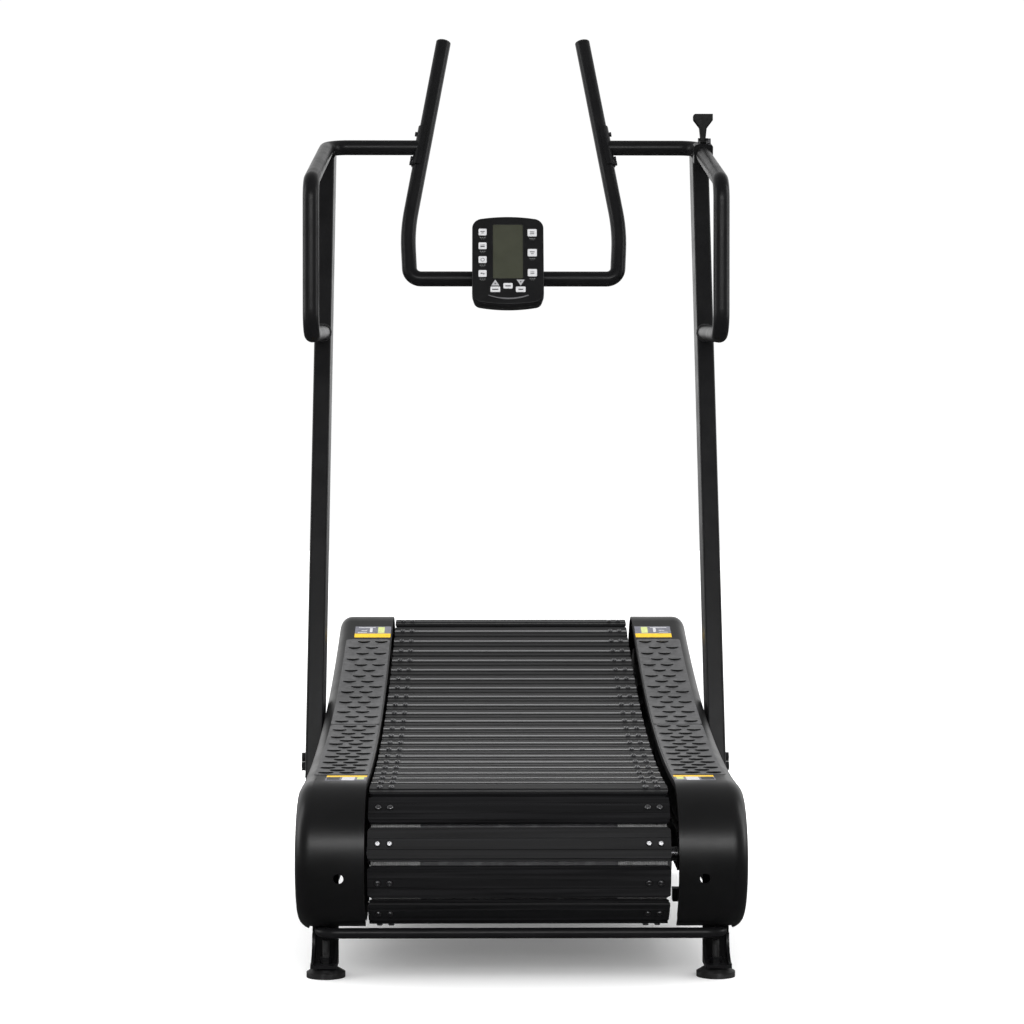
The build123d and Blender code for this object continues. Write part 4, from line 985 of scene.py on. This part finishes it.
for side_name in ("left", "right"):
    rail = "handrail_" + side_name
    post = "upright_" + side_name
    post_low, post_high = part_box(post)
    post_x = (post_low.x + post_high.x) / 2
    post_face = -reach(post, -upright_ahead)
    ends = [
        vertex.co
        for vertex in frame["nodes"][rail].data.vertices
        if abs(vertex.co.dot(upright_ahead) - post_face) < RAIL_END_REACH
        and vertex.co.z < RAIL_END_TOP
    ]
    centre = sum(ends, Vector()) / len(ends)
    stretch = 1 / math.cos(LEAN + RAIL_SLOPE)
    bead_reach = TUBE_RADIUS + BEAD_CLEARANCE
    points = []
    for index in range(BEAD_POINTS):
        turn = 2 * math.pi * index / BEAD_POINTS
        points.append(
            Vector((post_x, centre.y, centre.z))
            + Vector((1, 0, 0)) * bead_reach * math.cos(turn)
            + upright_along * bead_reach * stretch * math.sin(turn)
            - upright_ahead * BEAD_LIFT
        )
    mesh = bmesh.new()
    add_bead(mesh, points, BEAD_RADIUS, closed=True)
    bead = finish_piece("weld_bead_" + side_name, mesh, "frame", smooth=True)
    paint(bead, weld_metal)

# ---- Floor, light and camera --------------------------------------------------------------

FLOOR_SIZE = 60.0
MIRROR_BEHIND = 0.1
MATT_STRENGTH = 1.5
CAMERA_STRENGTH = 1.02
# Place from straight down to straight up, and brightness, of a reflection's inner stops.
MIRROR_STOPS = ((0.52, 0.9), (0.6, 1.0), (0.75, 0.4))
FLOOR_GLOW = 0.09
floor_data = bpy.data.meshes.new("studio_floor")
half = FLOOR_SIZE / 2
floor_data.from_pydata(
    [(-half, -half, 0), (half, -half, 0), (half, half, 0), (-half, half, 0)], [], [(0, 1, 2, 3)]
)
floor = bpy.data.objects.new("studio_floor", floor_data)
bpy.context.scene.collection.objects.link(floor)
floor_surface = Surface("studio_paper", (0.96, 0.96, 0.96), 0.9, specular=0.1)
floor_surface.mottle(0.5, 0.99, 1.0)
floor_surface.shader.inputs["Emission Color"].default_value = (1, 1, 1, 1)
floor_surface.shader.inputs["Emission Strength"].default_value = FLOOR_GLOW
floor_data.materials.append(floor_surface.material)
floor.visible_glossy = False


def studio_world():
    """White to the camera and even to matt surfaces. Reflections see a bright backdrop ahead low
    down, and a dark studio behind the camera and under the floor."""
    world = bpy.data.worlds.new("studio")
    bpy.context.scene.world = world
    world.use_nodes = True
    nodes, links = world.node_tree.nodes, world.node_tree.links
    direction = nodes.new("ShaderNodeTexCoord")
    split = nodes.new("ShaderNodeSeparateXYZ")
    ahead = nodes.new("ShaderNodeMapRange")
    ahead.inputs["From Min"].default_value = -0.4
    ahead.inputs["From Max"].default_value = 0.75
    ahead.inputs["To Min"].default_value = MIRROR_BEHIND
    ahead.inputs["To Max"].default_value = 1.0
    height = nodes.new("ShaderNodeMapRange")
    height.inputs["From Min"].default_value = -1
    height.inputs["From Max"].default_value = 1
    ramp = nodes.new("ShaderNodeValToRGB")
    ramp.color_ramp.elements[0].position = 0.47
    ramp.color_ramp.elements[0].color = (0.05, 0.05, 0.05, 1)
    ramp.color_ramp.elements[1].position = 1.0
    ramp.color_ramp.elements[1].color = (0.2, 0.2, 0.2, 1)
    for spot, value in MIRROR_STOPS:
        stop = ramp.color_ramp.elements.new(spot)
        stop.color = (value, value, value, 1)
    mirror_light = nodes["Background"]
    matt_light = nodes.new("ShaderNodeBackground")
    matt_light.inputs["Color"].default_value = (1, 1, 1, 1)
    matt_light.inputs["Strength"].default_value = MATT_STRENGTH
    seen = nodes.new("ShaderNodeBackground")
    seen.inputs["Color"].default_value = (1, 1, 1, 1)
    seen.inputs["Strength"].default_value = CAMERA_STRENGTH
    ray = nodes.new("ShaderNodeLightPath")
    mirror_mix = nodes.new("ShaderNodeMixShader")
    seen_mix = nodes.new("ShaderNodeMixShader")
    links.new(direction.outputs["Generated"], split.inputs["Vector"])
    links.new(split.outputs["Y"], ahead.inputs["Value"])
    links.new(split.outputs["Z"], height.inputs["Value"])
    links.new(height.outputs["Result"], ramp.inputs["Fac"])
    links.new(ahead.outputs["Result"], mirror_light.inputs["Strength"])
    links.new(ramp.outputs["Color"], mirror_light.inputs["Color"])
    links.new(ray.outputs["Is Glossy Ray"], mirror_mix.inputs["Fac"])
    links.new(matt_light.outputs["Background"], mirror_mix.inputs[1])
    links.new(mirror_light.outputs["Background"], mirror_mix.inputs[2])
    links.new(ray.outputs["Is Camera Ray"], seen_mix.inputs["Fac"])
    links.new(mirror_mix.outputs["Shader"], seen_mix.inputs[1])
    links.new(seen.outputs["Background"], seen_mix.inputs[2])
    links.new(seen_mix.outputs["Shader"], nodes["World Output"].inputs["Surface"])


studio_world()


def softbox(name, place, target, size, power):
    """A rectangular area light that faces a point."""
    data = bpy.data.lights.new(name, "AREA")
    data.shape = "RECTANGLE"
    data.size, data.size_y = size
    data.energy = power
    light = bpy.data.objects.new(name, data)
    light.location = place
    way = Vector(target) - Vector(place)
    light.rotation_euler = way.to_track_quat("-Z", "Y").to_euler()
    bpy.context.scene.collection.objects.link(light)
    return light


box_low, box_high = cad_box
centre = (box_low + box_high) / 2
softbox("softbox_left", (-3.6, centre.y + 0.2, 1.9), (0, centre.y, 0.6), (1.2, 3.0), 22)
softbox("softbox_right", (3.6, centre.y + 0.2, 1.9), (0, centre.y, 0.6), (1.2, 3.0), 22)
softbox("softbox_behind", (0.3, centre.y - 5.6, 2.6), (0, centre.y - 0.7, 0.2), (4.4, 1.1), 78)
under = softbox("softbox_under", (0, centre.y + 2.6, 0.35), (0, centre.y - 0.2, 0), (1.6, 0.5), 30)
under.visible_glossy = False

CAMERA_BACK = 4.26
CAMERA_SIDE = 0.0625
CAMERA_HEIGHT = 0.828
CAMERA_LENS = 90.03
CAMERA_DIP = math.radians(0.49)
CAMERA_TURN = math.radians(0.62)
camera_data = bpy.data.cameras.new("camera")
camera_data.lens = CAMERA_LENS
camera_data.sensor_width = 36.0
camera = bpy.data.objects.new("camera", camera_data)
camera.location = (-CAMERA_SIDE, box_low.y - CAMERA_BACK, CAMERA_HEIGHT)
camera.rotation_euler = (math.radians(90) - CAMERA_DIP, 0, -CAMERA_TURN)
bpy.context.scene.collection.objects.link(camera)
bpy.context.scene.camera = camera
bpy.context.scene.view_settings.view_transform = "Standard"
